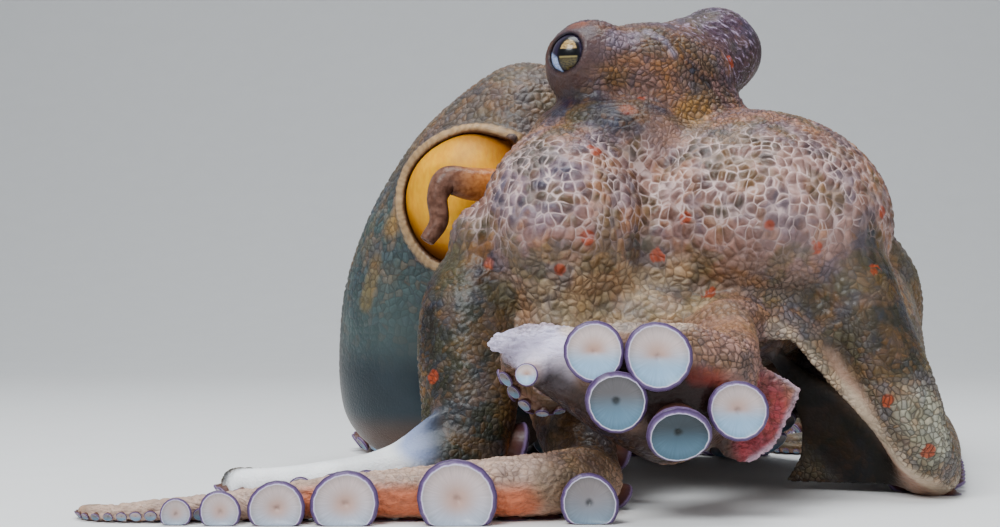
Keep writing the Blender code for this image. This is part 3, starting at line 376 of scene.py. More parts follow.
# From where to where each mask fades in, in millimetres, and for what faces down as the normal's height.
FADES = {
    "rim": (6.0, 3.5),
    "lid": (17.0, 11.5),
    "socket": (10.6, 9.6),
    # What faces down, and how low it lies, sets the painted shade of the underside.
    "faces_down": (-0.25, -0.7),
    "under": (90, 70),
    "neck": (126, 141),
    "net": (84, 112),
    "low_crown": (100, 84),
    "skirt_edge": (30, 12),
    "fold_of_front_arm": (16, 6),
    "flap": (14, 7),
    "bottom_arm_top": (16, 8),
    "mantle_bumps": (35, 95),
    "streaks": (20, 13),
    "slim": (2.0, 9.0),
}
WRINKLED = ("fold_of_front_arm", "flap", "bottom_arm_top")
MOUND_STREAKS = ((72, 133, 184), (89, 136, 187), (99, 138, 182), (100, 136, 168))
ORANGE_SPOTS = ((69, 73, 105), (99, 64, 102), (66, 99, 136), (35, 74, 130), (78, 75, 77), (22, 60, 86),
                (145, 90, 107), (140, 77, 85), (-25, 69, 46), (-28, 46, 18), (123, 67, 57), (142, 63, 38),
                (157, 64, 19), (92, 129, 169), (54, 103, 150), (32, 58, 97), (59, 77, 91), (117, 69, 94))
SPOT_REACH = 5.8

# The suckers' outline from the foot over the rim into the cup, as shares of their radius: distance
# from the axis, height, and the place on the scale of colours.
SUCKER_OUTLINE = ((0.62, -1.62, 2.0), (0.70, -1.0, 1.8), (0.86, -0.55, 1.5), (1.0, -0.32, 1.3),
                  (1.065, -0.22, 1.2), (1.085, -0.15, 1.15), (1.08, -0.10, 1.12), (1.055, -0.075, 1.09),
                  (1.02, -0.055, 1.05), (0.985, -0.03, 1.02), (0.965, 0.008, 1.0), (0.95, 0.014, 0.97),
                  (0.93, -0.004, 0.94), (0.86, -0.04, 0.86), (0.72, -0.095, 0.72), (0.52, -0.165, 0.52),
                  (0.34, -0.22, 0.34), (0.2, -0.255, 0.2), (0.12, -0.275, 0.12), (0.07, -0.31, 0.06),
                  (0.04, -0.34, 0.02))
# Height over the floor below which suckers are pressed together, and by how much.
SUCKER_CLEAR = 1.2
SUCKER_PRESS = 1.05
FINE_SUCKER = 128
ROW_SUCKER = 20
SUCKER_COLOURS = ((0.47, (168, 176, 196)), (0.482, (222, 216, 230)), (0.497, (186, 172, 206)),
                  (0.509, (104, 84, 126)), (0.55, (66, 48, 82)), (0.59, (124, 102, 140)),
                  (0.64, (74, 46, 52)), (0.8, (92, 58, 46)))
# How grey-green each large sucker is and how dark the painted shade in its middle hole is, and where it
# faces; and how strongly painted light makes them blue-white low down and painted shade makes them tan above.
LARGE_LOOKS = {
    "arm_r1": ((0.0, (0, -1, 0)), (0.1, (0, -1, 0.06)), (0.15, (0, -1, 0)), (0.85, (0.08, -0.96, -0.22)),
               (1.0, (0.06, -0.86, -0.5)), (0.0, (-0.3, -0.9, 0.1))),
    "arm_r2": ((0.7, (0, -1, 0)), (0.1, (0, -1, 0)), (0.1, (0, -1, 0)), (0.15, (0, -1, 0)), (0.2, (0, -1, 0)),
               (0.3, (0, -1, 0))),
}
LARGE_PAINTED_LIGHT = {"arm_r1": 1.0, "arm_r2": 0.4}

# Stage: places in millimetres, lamps with their size and power.
CAMERA = {"place": (0, -650, 88), "lens": 70.0, "sensor": 36.0}
LAMPS = (("key", (-380, -560, 900), 0.5, 13.8), ("fill", (900, -600, 500), 0.9, 3.0),
         ("top", (60, 200, 1100), 0.6, 10.0))
LAMP_COLOUR = (0.95, 0.985, 1.0)
LAMP_AIM = (60, 120, 90)
WORLD_COLOUR = (0.78, 0.84, 0.92, 1)
WORLD_STRENGTH = 0.30
FLOOR = {"front": -3000, "bend": 900, "top": 3000, "side": 4000}


def at(*place):
    """A place in millimetres from the front plane as a point of the frame in metres."""
    return Vector((np.array(place, float) - MIDDLE) * MM)


def unit(v):
    v = np.asarray(v, float)
    return v / max(np.linalg.norm(v), 1e-9)


def smoothstep(low, high, value):
    t = np.clip((value - low) / (high - low), 0, 1)
    return t * t * (3 - 2 * t)


def object_of(name, data):
    obj = bpy.data.objects.new(name, data)
    bpy.context.scene.collection.objects.link(obj)
    return obj


def from_bmesh(name, bm):
    bmesh.ops.recalc_face_normals(bm, faces=bm.faces)
    if bm.calc_volume(signed=True) < 0:
        bmesh.ops.reverse_faces(bm, faces=bm.faces)
    mesh = bpy.data.meshes.new(name)
    bm.to_mesh(mesh)
    bm.free()
    return object_of(name, mesh)


def applied(obj):
    """Replaces an object's mesh by the one that its modifiers give."""
    graph = bpy.context.evaluated_depsgraph_get()
    shape = obj.evaluated_get(graph)
    mesh = bpy.data.meshes.new_from_object(shape, preserve_all_data_layers=True, depsgraph=graph)
    obj.modifiers.clear()
    obj.data = mesh
    return obj


def lofts(name, rings):
    """One mesh of closed lofts from an array of lofts x rings x corners x 3, in metres."""
    rings = np.asarray(rings, np.float32)
    sides = rings.shape[2]
    index = np.arange(rings.size // 3, dtype=np.int32).reshape(rings.shape[:3])
    turned = np.roll(index, -1, axis=2)
    quads = np.stack([index[:, :-1], turned[:, :-1], turned[:, 1:], index[:, 1:]], axis=-1).reshape(-1, 4)
    caps = np.concatenate([index[:, 0, ::-1], index[:, -1]])
    corners = np.concatenate([quads.ravel(), caps.ravel()])
    sizes = np.concatenate([np.full(len(quads), 4), np.full(len(caps), sides)])
    mesh = bpy.data.meshes.new(name)
    mesh.vertices.add(index.size)
    mesh.vertices.foreach_set("co", rings.ravel())
    mesh.loops.add(len(corners))
    mesh.loops.foreach_set("vertex_index", corners)
    mesh.polygons.add(len(sizes))
    mesh.polygons.foreach_set("loop_start", np.concatenate([[0], np.cumsum(sizes)[:-1]]).astype(np.int32))
    mesh.update(calc_edges=True)
    shade_smooth(mesh)
    return object_of(name, mesh)


def set_attribute(mesh, name, values, kind="FLOAT"):
    """Stores a number, a vector or a colour at each vertex."""
    layer = mesh.attributes.get(name) or mesh.attributes.new(name, kind, "POINT")
    key = "value" if kind == "FLOAT" else "vector" if kind == "FLOAT_VECTOR" else "color"
    layer.data.foreach_set(key, np.asarray(values, np.float32).ravel())


def coordinates(mesh):
    spots = np.empty(len(mesh.vertices) * 3, np.float32)
    mesh.vertices.foreach_get("co", spots)
    return spots.reshape(-1, 3).astype(float)


def edge_ends(mesh):
    """The two vertices of each edge."""
    edges = np.empty(len(mesh.edges) * 2, np.int32)
    mesh.edges.foreach_get("vertices", edges)
    return edges.reshape(-1, 2)


def shade_smooth(mesh):
    mesh.polygons.foreach_set("use_smooth", np.ones(len(mesh.polygons), bool))


def between(one, two, start, end, t):
    """The point at t on the way from one, at start, to two, at end."""
    return (end - t) / (end - start) * one + (t - start) / (end - start) * two


def catmull(p, k, t):
    """The curve's point at t, between the second and third of four points p with knots k."""
    a = [between(p[i], p[i + 1], k[i], k[i + 1], t) for i in range(3)]
    b = [between(a[i], a[i + 1], k[i], k[i + 2], t) for i in range(2)]
    return between(b[0], b[1], k[1], k[2], t)


def smooth_line(points, step):
    """A centripetal Catmull-Rom curve through the points, sampled evenly, with each sample's place
    along the points' own numbering."""
    p = np.array(points, float)
    p = np.vstack([2 * p[0] - p[1], p, 2 * p[-1] - p[-2]])
    knots = np.concatenate([[0], np.cumsum(np.sqrt(np.linalg.norm(np.diff(p, axis=0), axis=1)))])
    fine, order = [], []
    for i in range(1, len(p) - 2):
        for t in np.linspace(knots[i], knots[i + 1], 24, endpoint=False):
            fine.append(catmull(p[i - 1:i + 3], knots[i - 1:i + 3], t))
            order.append(i - 1 + (t - knots[i]) / (knots[i + 1] - knots[i]))
    fine.append(p[-2])
    order.append(len(p) - 3)
    fine, order = np.array(fine), np.array(order)
    along = np.concatenate([[0], np.cumsum(np.linalg.norm(np.diff(fine, axis=0), axis=1))])
    even = np.linspace(0, along[-1], max(4, int(round(along[-1] / step)) + 1))
    places = np.stack([np.interp(even, along, fine[:, k]) for k in range(3)], axis=1)
    return places, np.interp(even, along, order), even


def curl_points(last, before, radius, turns, way):
    """A closing spiral on the floor that leaves the route's last point in the route's direction."""
    heading = unit((last[0] - before[0], last[1] - before[1]))
    inward = way * np.array((-heading[1], heading[0]))
    centre = np.array(last[:2]) + radius * inward
    start = math.atan2(-inward[1], -inward[0])
    points = []
    for i in range(1, int(turns * 12) + 1):
        angle = i / 12 * math.tau
        r = radius * math.exp(-CURL_RATE * angle)
        turn = start + way * angle
        points.append((centre[0] + r * math.cos(turn), centre[1] + r * math.sin(turn), 0))
    return points, centre


def trace_arm(spec):
    """The arm's middle line, its radius, and the directions of its suckers and sides at each sample."""
    route = [(x, y, 0 if z is None else z) for x, y, z in spec["route"]]
    rests = [z is None for x, y, z in spec["route"]]
    faces = [np.array(FACING.get(f, f) if isinstance(f, str) else f, float) for f in spec["faces"]]
    if spec["curl"]:
        coil, centre = curl_points(route[-1], route[-2], *spec["curl"])
        route += coil
        rests += [True] * len(coil)
        for x, y, z in coil:
            outward = unit((x - centre[0], y - centre[1], 0))
            faces.append(0.5 * outward + np.array((0, 0, -0.86)))
    places, order, along = smooth_line(route, PATH_STEP)
    share = along / along[-1]
    if "girth" in spec:
        known = [*range(len(spec["girth"])), max(order[-1], len(spec["girth"]))]
        radii = np.interp(order, known, [*spec["girth"], TIP_RADIUS])
    else:
        radii = TIP_RADIUS + (spec["root"] - TIP_RADIUS) * (1 - share) ** spec["taper"]
    resting = np.interp(order, range(len(rests)), [float(r) for r in rests])
    places[:, 2] = places[:, 2] * (1 - resting) + FLOOR_REST * radii * resting
    tangents = np.gradient(places, axis=0)
    tangents /= np.linalg.norm(tangents, axis=1)[:, None]
    looks = np.stack([np.interp(order, range(len(faces)), [f[k] for f in faces]) for k in range(3)], axis=1)
    looks -= np.sum(looks * tangents, axis=1)[:, None] * tangents
    looks /= np.linalg.norm(looks, axis=1)[:, None]
    return {"places": places, "along": along, "radii": radii, "looks": looks,
            "sides": np.cross(tangents, looks), "oral": spec.get("oral", ORAL_DEPTH),
            "aboral": spec.get("aboral", ABORAL_DEPTH)}


def stations(arm, distances):
    """Middles, radii, sucker directions and side directions of an arm at distances along it."""
    found = []
    for key in ("places", "looks", "sides"):
        columns = [np.interp(distances, arm["along"], arm[key][:, k]) for k in range(3)]
        found.append(np.stack(columns, axis=-1))
    places, looks, sides = found
    radii = np.interp(distances, arm["along"], arm["radii"])
    looks = looks / np.linalg.norm(looks, axis=-1, keepdims=True)
    sides = sides / np.linalg.norm(sides, axis=-1, keepdims=True)
    return places, radii, looks, sides


def arm_form(name):
    """A whole arm as a closed tube, round above and flatter on the side of the suckers."""
    arm = arms[name]
    distances = np.append(np.arange(0, arm["along"][-1], ARM_STEP), arm["along"][-1])
    places, radii, looks, sides = stations(arm, distances)
    angles = math.tau * (np.arange(ARM_CORNERS) + 0.5) / ARM_CORNERS
    depth = np.where(np.sin(angles) > 0, arm["oral"], arm["aboral"])
    across = (radii[:, None] * ARM_WIDTH * np.cos(angles))[:, :, None] * sides[:, None]
    down = (radii[:, None] * depth * np.sin(angles))[:, :, None] * looks[:, None]
    return lofts(name + "_form", [(places[:, None] + across + down - MIDDLE) * MM])


def ellipsoid(name, form, turn=0.0, lean=0.0, grow=0.0, rings=24):
    """A closed ball of the form's centre and three radii, turned about Z and leant about Y."""
    radii = form.get("radii", (form.get("radius"),) * 3)
    bm = bmesh.new()
    bmesh.ops.create_uvsphere(bm, u_segments=rings * 2, v_segments=rings, radius=1)
    size = Matrix.Diagonal([(r + grow) * MM for r in radii] + [1])
    place = Matrix.Translation(at(*form["centre"]))
    bm.transform(place @ Matrix.Rotation(turn, 4, "Z") @ Matrix.Rotation(lean, 4, "Y") @ size)
    return from_bmesh(name, bm)


def rings_round(places, radii, across):
    """Round rings about a line; the first corner of each lies square to the line and to across."""
    tangents = np.gradient(places, axis=0)
    side = np.cross(tangents, across)
    side /= np.linalg.norm(side, axis=1)[:, None]
    deep = np.cross(side, tangents)
    deep /= np.linalg.norm(deep, axis=1)[:, None]
    angles = np.linspace(0, math.tau, RING_CORNERS, endpoint=False)[None, :, None]
    ring = np.cos(angles) * side[:, None] + np.sin(angles) * deep[:, None]
    return places[:, None] + radii[:, None, None] * ring


def mantle_form():
    """The mantle: rings of the given half widths round a bent line, closed by domes."""
    places, order, along = smooth_line(MANTLE_LINE, OUTLINE_STEP)
    radii = np.interp(order, range(len(MANTLE_GIRTH)), MANTLE_GIRTH)
    for end in (0, -1):
        dome = radii[end] * MANTLE_DOME
        reach = np.abs(along - along[end])
        radii = radii * np.sqrt(np.clip(1 - np.clip(1 - reach / dome, 0, 1) ** 2, 0.02, 1))
    return lofts("mantle_form", [(rings_round(places, radii, (0, 1, 0)) - MIDDLE) * MM])


def rim_plug(name, front, back, grow):
    """A closed prism with the outline of the mantle's free edge, widened or narrowed all round."""
    loop = smooth_line(RIM_LOOP + RIM_LOOP[:1], OUTLINE_STEP)[0][:-1]
    outward = (loop - loop.mean(axis=0)) * (1, 0, 1)
    outward /= np.linalg.norm(outward, axis=1)[:, None]
    edge = loop + grow * outward
    depths = np.linspace(front, back, 6)
    rings = edge[None] + depths[:, None, None] * np.array((0, 1, 0))
    plug = lofts(name, [(rings - MIDDLE) * MM])
    bm = bmesh.new()
    bm.from_mesh(plug.data)
    bpy.data.objects.remove(plug, do_unlink=True)
    return from_bmesh(name, bm)


def solidified(sheet, thickness):
    solid = sheet.modifiers.new("thickness", "SOLIDIFY")
    solid.thickness = thickness * MM
    solid.offset = 0
    return applied(sheet)


def web_sheet(one, two):
    """The membrane between two arms, bowed outwards from the mouth, with a scooped free edge."""
    reach_one, reach_two, scoop = WEBS[(one, two)]
    rows, columns = 24, 18
    across = np.linspace(0, 1, columns + 1)
    pull = 1 - scoop * 4 * across * (1 - across)
    share = np.linspace(0, 1, rows + 1)[:, None] * pull
    a, ra = stations(arms[one], WEB_START + (reach_one - WEB_START) * share)[:2]
    b, rb = stations(arms[two], WEB_START + (reach_two - WEB_START) * share)[:2]
    across = across[None, :, None]
    place = a * (1 - across) + b * across
    out = (place - np.array(CROWN_CORE["centre"], float)) * (1, 1, 0.3)
    out /= np.linalg.norm(out, axis=-1, keepdims=True)
    bow = 4 * across * (1 - across) * np.linalg.norm(a - b, axis=-1, keepdims=True) * 0.10
    place = place + out * ((ra + rb)[..., None] * 0.20 + bow)
    bm = bmesh.new()
    grid = [[bm.verts.new(at(*p)) for p in line] for line in place]
    for i in range(rows):
        for j in range(columns):
            bm.faces.new((grid[i][j], grid[i][j + 1], grid[i + 1][j + 1], grid[i + 1][j]))
    return solidified(from_bmesh(one + two, bm), WEB_THICKNESS)


def slab(name, corners):
    """A thin closed sheet with the given corners."""
    bm = bmesh.new()
    bm.faces.new([bm.verts.new(at(*corner)) for corner in corners])
    bmesh.ops.triangulate(bm, faces=bm.faces)
    return solidified(from_bmesh(name, bm), WEB_THICKNESS)


def torus(name, centre, looks, ring, tube, wide=1.0, tall=1.0):
    """A closed ring whose axis points along looks."""
    turn = np.array(Vector(looks).to_track_quat("Z", "Y").to_matrix())
    around, corners = 48, 14
    a = np.linspace(0, math.tau, around, endpoint=False)[:, None]
    b = np.linspace(0, math.tau, corners, endpoint=False)[None]
    reach = ring + tube * np.cos(b)
    local = np.stack([reach * np.cos(a) * wide, reach * np.sin(a) * tall, tube * np.sin(b) + 0 * a], axis=-1)
    bm = bmesh.new()
    grid = [[bm.verts.new(at(*p)) for p in line] for line in local @ turn.T + np.array(centre)]
    for i in range(around):
        one, two = grid[i], grid[(i + 1) % around]
        for j in range(corners):
            bm.faces.new((one[j], one[(j + 1) % corners], two[(j + 1) % corners], two[j]))
    return from_bmesh(name, bm)


def eye_centre(mound, looks):
    return np.array(mound["centre"]) + EYE_SET * unit(looks)


def lid_form(name, mound, looks):
    looks = unit(looks)
    centre = eye_centre(mound, looks) + looks * EYE_RADIUS * LID["forward"]
    return torus(name, centre, looks, EYE_RADIUS * LID["ring"], LID["tube"], wide=1.08, tall=0.94)


def funnel_rings(share_of_girth):
    """The funnel's middle line, and its rings at a share of its thickness."""
    places, order, along = smooth_line(FUNNEL_LINE, FUNNEL_STEP)
    radii = share_of_girth * np.interp(order, range(len(FUNNEL_GIRTH)), FUNNEL_GIRTH)
    return places, rings_round(places, radii, (0, 1, 0.2))


def body_forms():
    """Every overlapping form of flesh, which the skin is drawn over."""
    made = [ellipsoid("head_and_neck", form, turn=HEAD_TURN) for form in (HEAD, NECK)]
    made += [ellipsoid("ball", form) for form in (RIGHT_MOUND, LEFT_MOUND, BROW, SHOULDER, FLANK,
                                                  CROWN_CORE, RIGHT_LOBE, LEFT_LOBE)]
    made += [mantle_form(), rim_plug("rim_form", **RIM_FLANGE)]
    made += [arm_form(name) for name in arms]
    made += [web_sheet(one, two) for one, two in WEBS]
    made += [slab(name, corners) for name, corners in SHEETS.items()]
    made += [lid_form(name + "_lid", mound, looks) for name, (mound, looks, gaze) in EYES.items()]
    made += [torus("lips", MOUTH["centre"], (0, 0, -1), MOUTH["ring"], MOUTH["tube"])]
    made += [ellipsoid("frill", {"centre": place, "radius": radius}, rings=8) for place, radius in FRILLS]
    made += [ellipsoid("fold", {"centre": place, "radii": radii}, rings=12) for place, radii in FOLDS]
    return made


def joined(name, objects):
    """One mesh from several objects, which are removed."""
    bm = bmesh.new()
    for obj in objects:
        bm.from_mesh(obj.data)
        bpy.data.objects.remove(obj, do_unlink=True)
    mesh = bpy.data.meshes.new(name)
    bm.to_mesh(mesh)
    bm.free()
    return object_of(name, mesh)


def remeshed(obj, voxel):
    grid = obj.modifiers.new("grid", "REMESH")
    grid.mode = "VOXEL"
    grid.voxel_size = voxel * MM
    return applied(obj)


def cut(obj, cutter, operation="DIFFERENCE"):
    step = obj.modifiers.new("cut", "BOOLEAN")
    step.operation = operation
    step.solver = "MANIFOLD"
    step.object = cutter
    applied(obj)
    bpy.data.objects.remove(cutter, do_unlink=True)


def keep_largest(obj):
    """Drops sealed hollows and loose scraps."""
    mesh = obj.data
    edges = edge_ends(mesh)
    label = np.arange(len(mesh.vertices))
    while True:
        low = np.minimum(label[edges[:, 0]], label[edges[:, 1]])
        fresh = label.copy()
        np.minimum.at(fresh, edges[:, 0], low)
        np.minimum.at(fresh, edges[:, 1], low)
        fresh = fresh[fresh]
        if (fresh == label).all():
            break
        label = fresh
    names, counts = np.unique(label, return_counts=True)
    if len(names) > 1:
        loose = np.flatnonzero(label != names[counts.argmax()])
        bm = bmesh.new()
        bm.from_mesh(mesh)
        bm.verts.ensure_lookup_table()
        bmesh.ops.delete(bm, geom=[bm.verts[i] for i in loose], context="VERTS")
        bm.to_mesh(mesh)
        bm.free()


def relax(spots, edges, rounds, factor):
    """Draws each vertex towards its neighbours' middle; factor differs from vertex to vertex."""
    one, two = edges[:, 0], edges[:, 1]
    count = len(spots)
    neighbours = np.bincount(one, minlength=count) + np.bincount(two, minlength=count)
    for _ in range(rounds):
        for k in range(3):
            column = spots[:, k]
            total = np.bincount(one, column[two], count) + np.bincount(two, column[one], count)
            spots[:, k] = column + factor * (total / neighbours - column)


def nearest_arm(spots):
    """For each spot: the nearest arm's number, the distance along it, the local radius, how far out
    it lies, and how much it faces the way of the suckers."""
    tree = kdtree.KDTree(sum(len(arm["places"]) for arm in arms.values()))
    owner, along, radius, looks, places = [], [], [], [], []
    for number, arm in enumerate(arms.values()):
        for place, distance, r, look in zip(arm["places"], arm["along"], arm["radii"], arm["looks"]):
            tree.insert(place, len(owner))
            owner.append(number)
            along.append(distance)
            radius.append(r)
            looks.append(look)
            places.append(place)
    tree.balance()
    index = np.array([tree.find(spot)[1] for spot in spots])
    owner, along, radius = np.array(owner)[index], np.array(along)[index], np.array(radius)[index]
    out = spots - np.array(places)[index]
    far = np.linalg.norm(out, axis=1)
    oral = np.sum(out * np.array(looks)[index], axis=1) / np.maximum(far, 1e-6)
    return {"owner": owner, "along": along, "radius": radius, "far": far, "oral": oral}


def blend_shares(spots, near):
    """How strongly each vertex is smoothed: little on thin arms, by the eyes and on frills and folds."""
    share = smoothstep(2.0, 11.0, near["radius"]) + smoothstep(1.3, 2.2, near["far"] / near["radius"])
    for mound, looks, gaze in EYES.values():
        off = np.linalg.norm(spots - eye_centre(mound, looks), axis=1)
        share *= 0.12 + 0.88 * smoothstep(EYE_RADIUS + 2, EYE_RADIUS + 9, off)
    for place, size in FRILLS + FOLDS:
        share *= 0.2 + 0.8 * smoothstep(6, 13, np.linalg.norm(spots - place, axis=1))
    return BLEND_FACTOR * np.clip(share, 0.04, 1)


def blended_skin():
    """The joined, hollowed and smoothed body, its vertices' places and what they know of their arms."""
    body = remeshed(joined("skin", body_forms()), CUT_VOXEL)
    cut(body, rim_plug("cavity", **CAVITY))
    for mound, looks, gaze in EYES.values():
        ball = {"centre": tuple(eye_centre(mound, looks)), "radius": EYE_RADIUS - 0.1}
        cut(body, ellipsoid("socket", ball))
    remeshed(body, SKIN_VOXEL)
    keep_largest(body)
    spots = coordinates(body.data) / MM + MIDDLE
    near = nearest_arm(spots)
    relax(spots, edge_ends(body.data), BLEND_ROUNDS, blend_shares(spots, near))
    body.data.vertices.foreach_set("co", ((spots - MIDDLE) * MM).astype(np.float32).ravel())
    body.data.update()
    return body, spots, near


def add(tree, kind, inputs=(), **settings):
    """A node with its settings, and its inputs given as values or as other nodes' outputs."""
    node = tree.nodes.new(kind)
    for key, value in settings.items():
        setattr(node, key, value)
    for key, value in dict(inputs).items():
        socket = node.inputs[key]
        if isinstance(value, bpy.types.NodeSocket):
            tree.links.new(value, socket)
        else:
            socket.default_value = value
    return node


def number(tree, operation, *values):
    inputs = {i: v for i, v in enumerate(values)}
    return add(tree, "ShaderNodeMath", inputs, operation=operation).outputs[0]


def times(tree, one, two):
    return number(tree, "MULTIPLY", one, two)


def vector(tree, operation, *values):
    inputs = {i: v for i, v in enumerate(values)}
    return add(tree, "ShaderNodeVectorMath", inputs, operation=operation).outputs[0]


def ramp(tree, value, low, high, start=0.0, end=1.0):
    """The value taken smoothly from low..high to start..end."""
    inputs = {0: value, 1: low, 2: high, 3: start, 4: end}
    return add(tree, "ShaderNodeMapRange", inputs, interpolation_type="SMOOTHSTEP").outputs[0]


def mix(tree, share, one, two):
    inputs = {0: share, 6: one, 7: two}
    return add(tree, "ShaderNodeMix", inputs, data_type="RGBA").outputs[2]


def read(tree, name, vector=False):
    """What is stored at each vertex under a name, in a material or in geometry nodes."""
    if tree.bl_idname == "ShaderNodeTree":
        node = add(tree, "ShaderNodeAttribute", attribute_name=name)
        return node.outputs["Vector" if vector else "Fac"]
    kind = "FLOAT_VECTOR" if vector else "FLOAT"
    return add(tree, "GeometryNodeInputNamedAttribute", {0: name}, data_type=kind).outputs[0]


def noise(tree, place, size, detail=2.0, output=0):
    inputs = {"Vector": place, "Scale": 1 / size, "Detail": detail}
    return add(tree, "ShaderNodeTexNoise", inputs).outputs[output]


def voronoi(tree, place, size, feature="F1", output="Distance", randomness=1.0):
    inputs = {"Vector": place, "Scale": 1 / size, "Randomness": randomness}
    return add(tree, "ShaderNodeTexVoronoi", inputs, feature=feature).outputs[output]


def patterns(tree):
    """The skin's patterns from each vertex's undisturbed place, the same in relief and in colour."""
    rest = read(tree, "rest", vector=True)
    swing = vector(tree, "SUBTRACT", noise(tree, rest, SWING_SIZE, 1.0, output=1), (0.5, 0.5, 0.5))
    place = vector(tree, "ADD", rest, vector(tree, "MULTIPLY", swing, (SWING_REACH,) * 3))
    cell_place = vector(tree, "MULTIPLY", place, (1.0, 1.0, 0.86))
    streak_place = vector(tree, "MULTIPLY", turned_place(tree, place), STREAK_STRETCH)
    return {
        "rest": rest,
        "cell": voronoi(tree, cell_place, CELL_SIZE, randomness=CELL_DISORDER),
        "cell_edge": voronoi(tree, cell_place, CELL_SIZE, "DISTANCE_TO_EDGE", randomness=CELL_DISORDER),
        "cell_tint": voronoi(tree, cell_place, CELL_SIZE, output="Color", randomness=CELL_DISORDER),
        "grain_edge": voronoi(tree, place, GRAIN_SIZE, "DISTANCE_TO_EDGE", randomness=GRAIN_DISORDER),
        "grain_tint": voronoi(tree, place, GRAIN_SIZE, output="Color", randomness=GRAIN_DISORDER),
        "bump_edge": voronoi(tree, place, BUMP_SIZE, "DISTANCE_TO_EDGE", randomness=GRAIN_DISORDER),
        "bump_tint": voronoi(tree, place, BUMP_SIZE, output="Color", randomness=GRAIN_DISORDER),
        "streak": noise(tree, streak_place, STREAK_SIZE, 3.0),
        "wrinkle": noise(tree, vector(tree, "MULTIPLY", place, (1.0, 1.0, 2.6)), WRINKLE_SIZE, 2.0),
        "broad": noise(tree, rest, BROAD_SIZE, 2.0),
        "mottle": noise(tree, rest, MOTTLE_SIZE, 3.0, output=1),
        "run": noise(tree, vector(tree, "MULTIPLY", place, (1.0, 1.0, 0.3)), RUN_SIZE, 1.0),
    }


def turned_place(tree, place):
    """The place turned so that the streaks on the head run down to the right."""
    inputs = {"Vector": place, "Axis": (0, 1, 0), "Angle": STREAK_ANGLE}
    return add(tree, "ShaderNodeVectorRotate", inputs, rotation_type="AXIS_ANGLE").outputs[0]


def skin_height(tree, found):
    """How far the patterns and the rim's ribs stand out, in millimetres."""
    shapes = {
        "cells": ramp(tree, found["cell_edge"], 0.0, 0.30, -0.5, 0.5),
        "grains": ramp(tree, found["grain_edge"], 0.0, 0.26, -0.5, 0.5),
        "bumps": ramp(tree, found["bump_edge"], 0.0, 0.30, -0.5, 0.5),
        "streaks": ramp(tree, found["streak"], 0.36, 0.64, -0.5, 0.5),
        "wrinkles": ramp(tree, found["wrinkle"], 0.34, 0.66, -0.5, 0.5),
    }
    height = read(tree, "ribs")
    for name, shape in shapes.items():
        depth = times(tree, read(tree, name), RELIEF[name])
        height = number(tree, "MULTIPLY_ADD", depth, shape, height)
    return height


def relief():
    """Geometry nodes that raise the skin's patterns and the ribs of the rim as real shape."""
    tree = bpy.data.node_groups.new("relief", "GeometryNodeTree")
    tree.interface.new_socket("Geometry", in_out="INPUT", socket_type="NodeSocketGeometry")
    tree.interface.new_socket("Geometry", in_out="OUTPUT", socket_type="NodeSocketGeometry")
    height = skin_height(tree, patterns(tree))
    normal = add(tree, "GeometryNodeInputNormal").outputs[0]
    offset = add(tree, "ShaderNodeVectorMath", {0: normal, 3: times(tree, height, MM)},
                 operation="SCALE").outputs[0]
    start = add(tree, "NodeGroupInput").outputs[0]
    moved = add(tree, "GeometryNodeSetPosition", {"Geometry": start, "Offset": offset}).outputs[0]
    add(tree, "NodeGroupOutput", {0: moved})
    return tree


def ball_distance(spots, form, turn=0.0):
    """Roughly how far each spot lies outside a ball."""
    radii = np.array(form.get("radii", (form.get("radius"),) * 3), float)
    out = spots - np.array(form["centre"], float)
    back = np.array(Matrix.Rotation(-turn, 3, "Z"))
    scaled = np.linalg.norm(out @ back.T / radii, axis=1)
    return np.linalg.norm(out, axis=1) * (1 - 1 / np.maximum(scaled, 1e-3))


def line_distance(spots, points):
    """Distance to a smooth line."""
    best = np.full(len(spots), 1e9)
    for place in smooth_line(points, PATH_STEP)[0]:
        best = np.minimum(best, np.sum((spots - place) ** 2, axis=1))
    return np.sqrt(best)


def srgb(red, green, blue):
    """A screen colour from 0 to 255 as linear light."""
    value = np.array((red, green, blue)) / 255
    return np.where(value <= 0.04045, value / 12.92, ((value + 0.055) / 1.055) ** 2.4)


def screen(red, green, blue):
    """A screen colour as a shader's socket takes it."""
    return (*srgb(red, green, blue), 1)


def tinted(tone, colour, share):
    return tone + (srgb(*colour) - tone) * np.clip(share, 0, 1)[:, None]


def polyline_distance(spots, points):
    """Distance to a line with corners, or to a single point."""
    points = np.array(points, float)
    if len(points) == 1:
        return np.linalg.norm(spots - points[0], axis=1)
    best = np.full(len(spots), 1e9)
    for a, b in zip(points, points[1:]):
        share = np.clip((spots - a) @ (b - a) / np.sum((b - a) ** 2), 0, 1)
        best = np.minimum(best, np.linalg.norm(spots - a - share[:, None] * (b - a), axis=1))
    return best


def inside_rim(spots):
    """1 for what lies within the outline of the mantle's opening, seen from the front."""
    loop = smooth_line(RIM_LOOP + RIM_LOOP[:1], PATH_STEP)[0][:-1]
    middle = loop.mean(axis=0)
    turn = np.arctan2(loop[:, 2] - middle[2], loop[:, 0] - middle[0])
    reach = np.hypot(loop[:, 2] - middle[2], loop[:, 0] - middle[0])
    order = np.argsort(turn)
    angle = np.arctan2(spots[:, 2] - middle[2], spots[:, 0] - middle[0])
    edge = np.interp(angle, turn[order], reach[order], period=math.tau)
    far = np.hypot(spots[:, 2] - middle[2], spots[:, 0] - middle[0])
    depth = smoothstep(118, 126, spots[:, 1]) * smoothstep(172, 168, spots[:, 1])
    return smoothstep(0.5, -1.5, far - edge) * depth


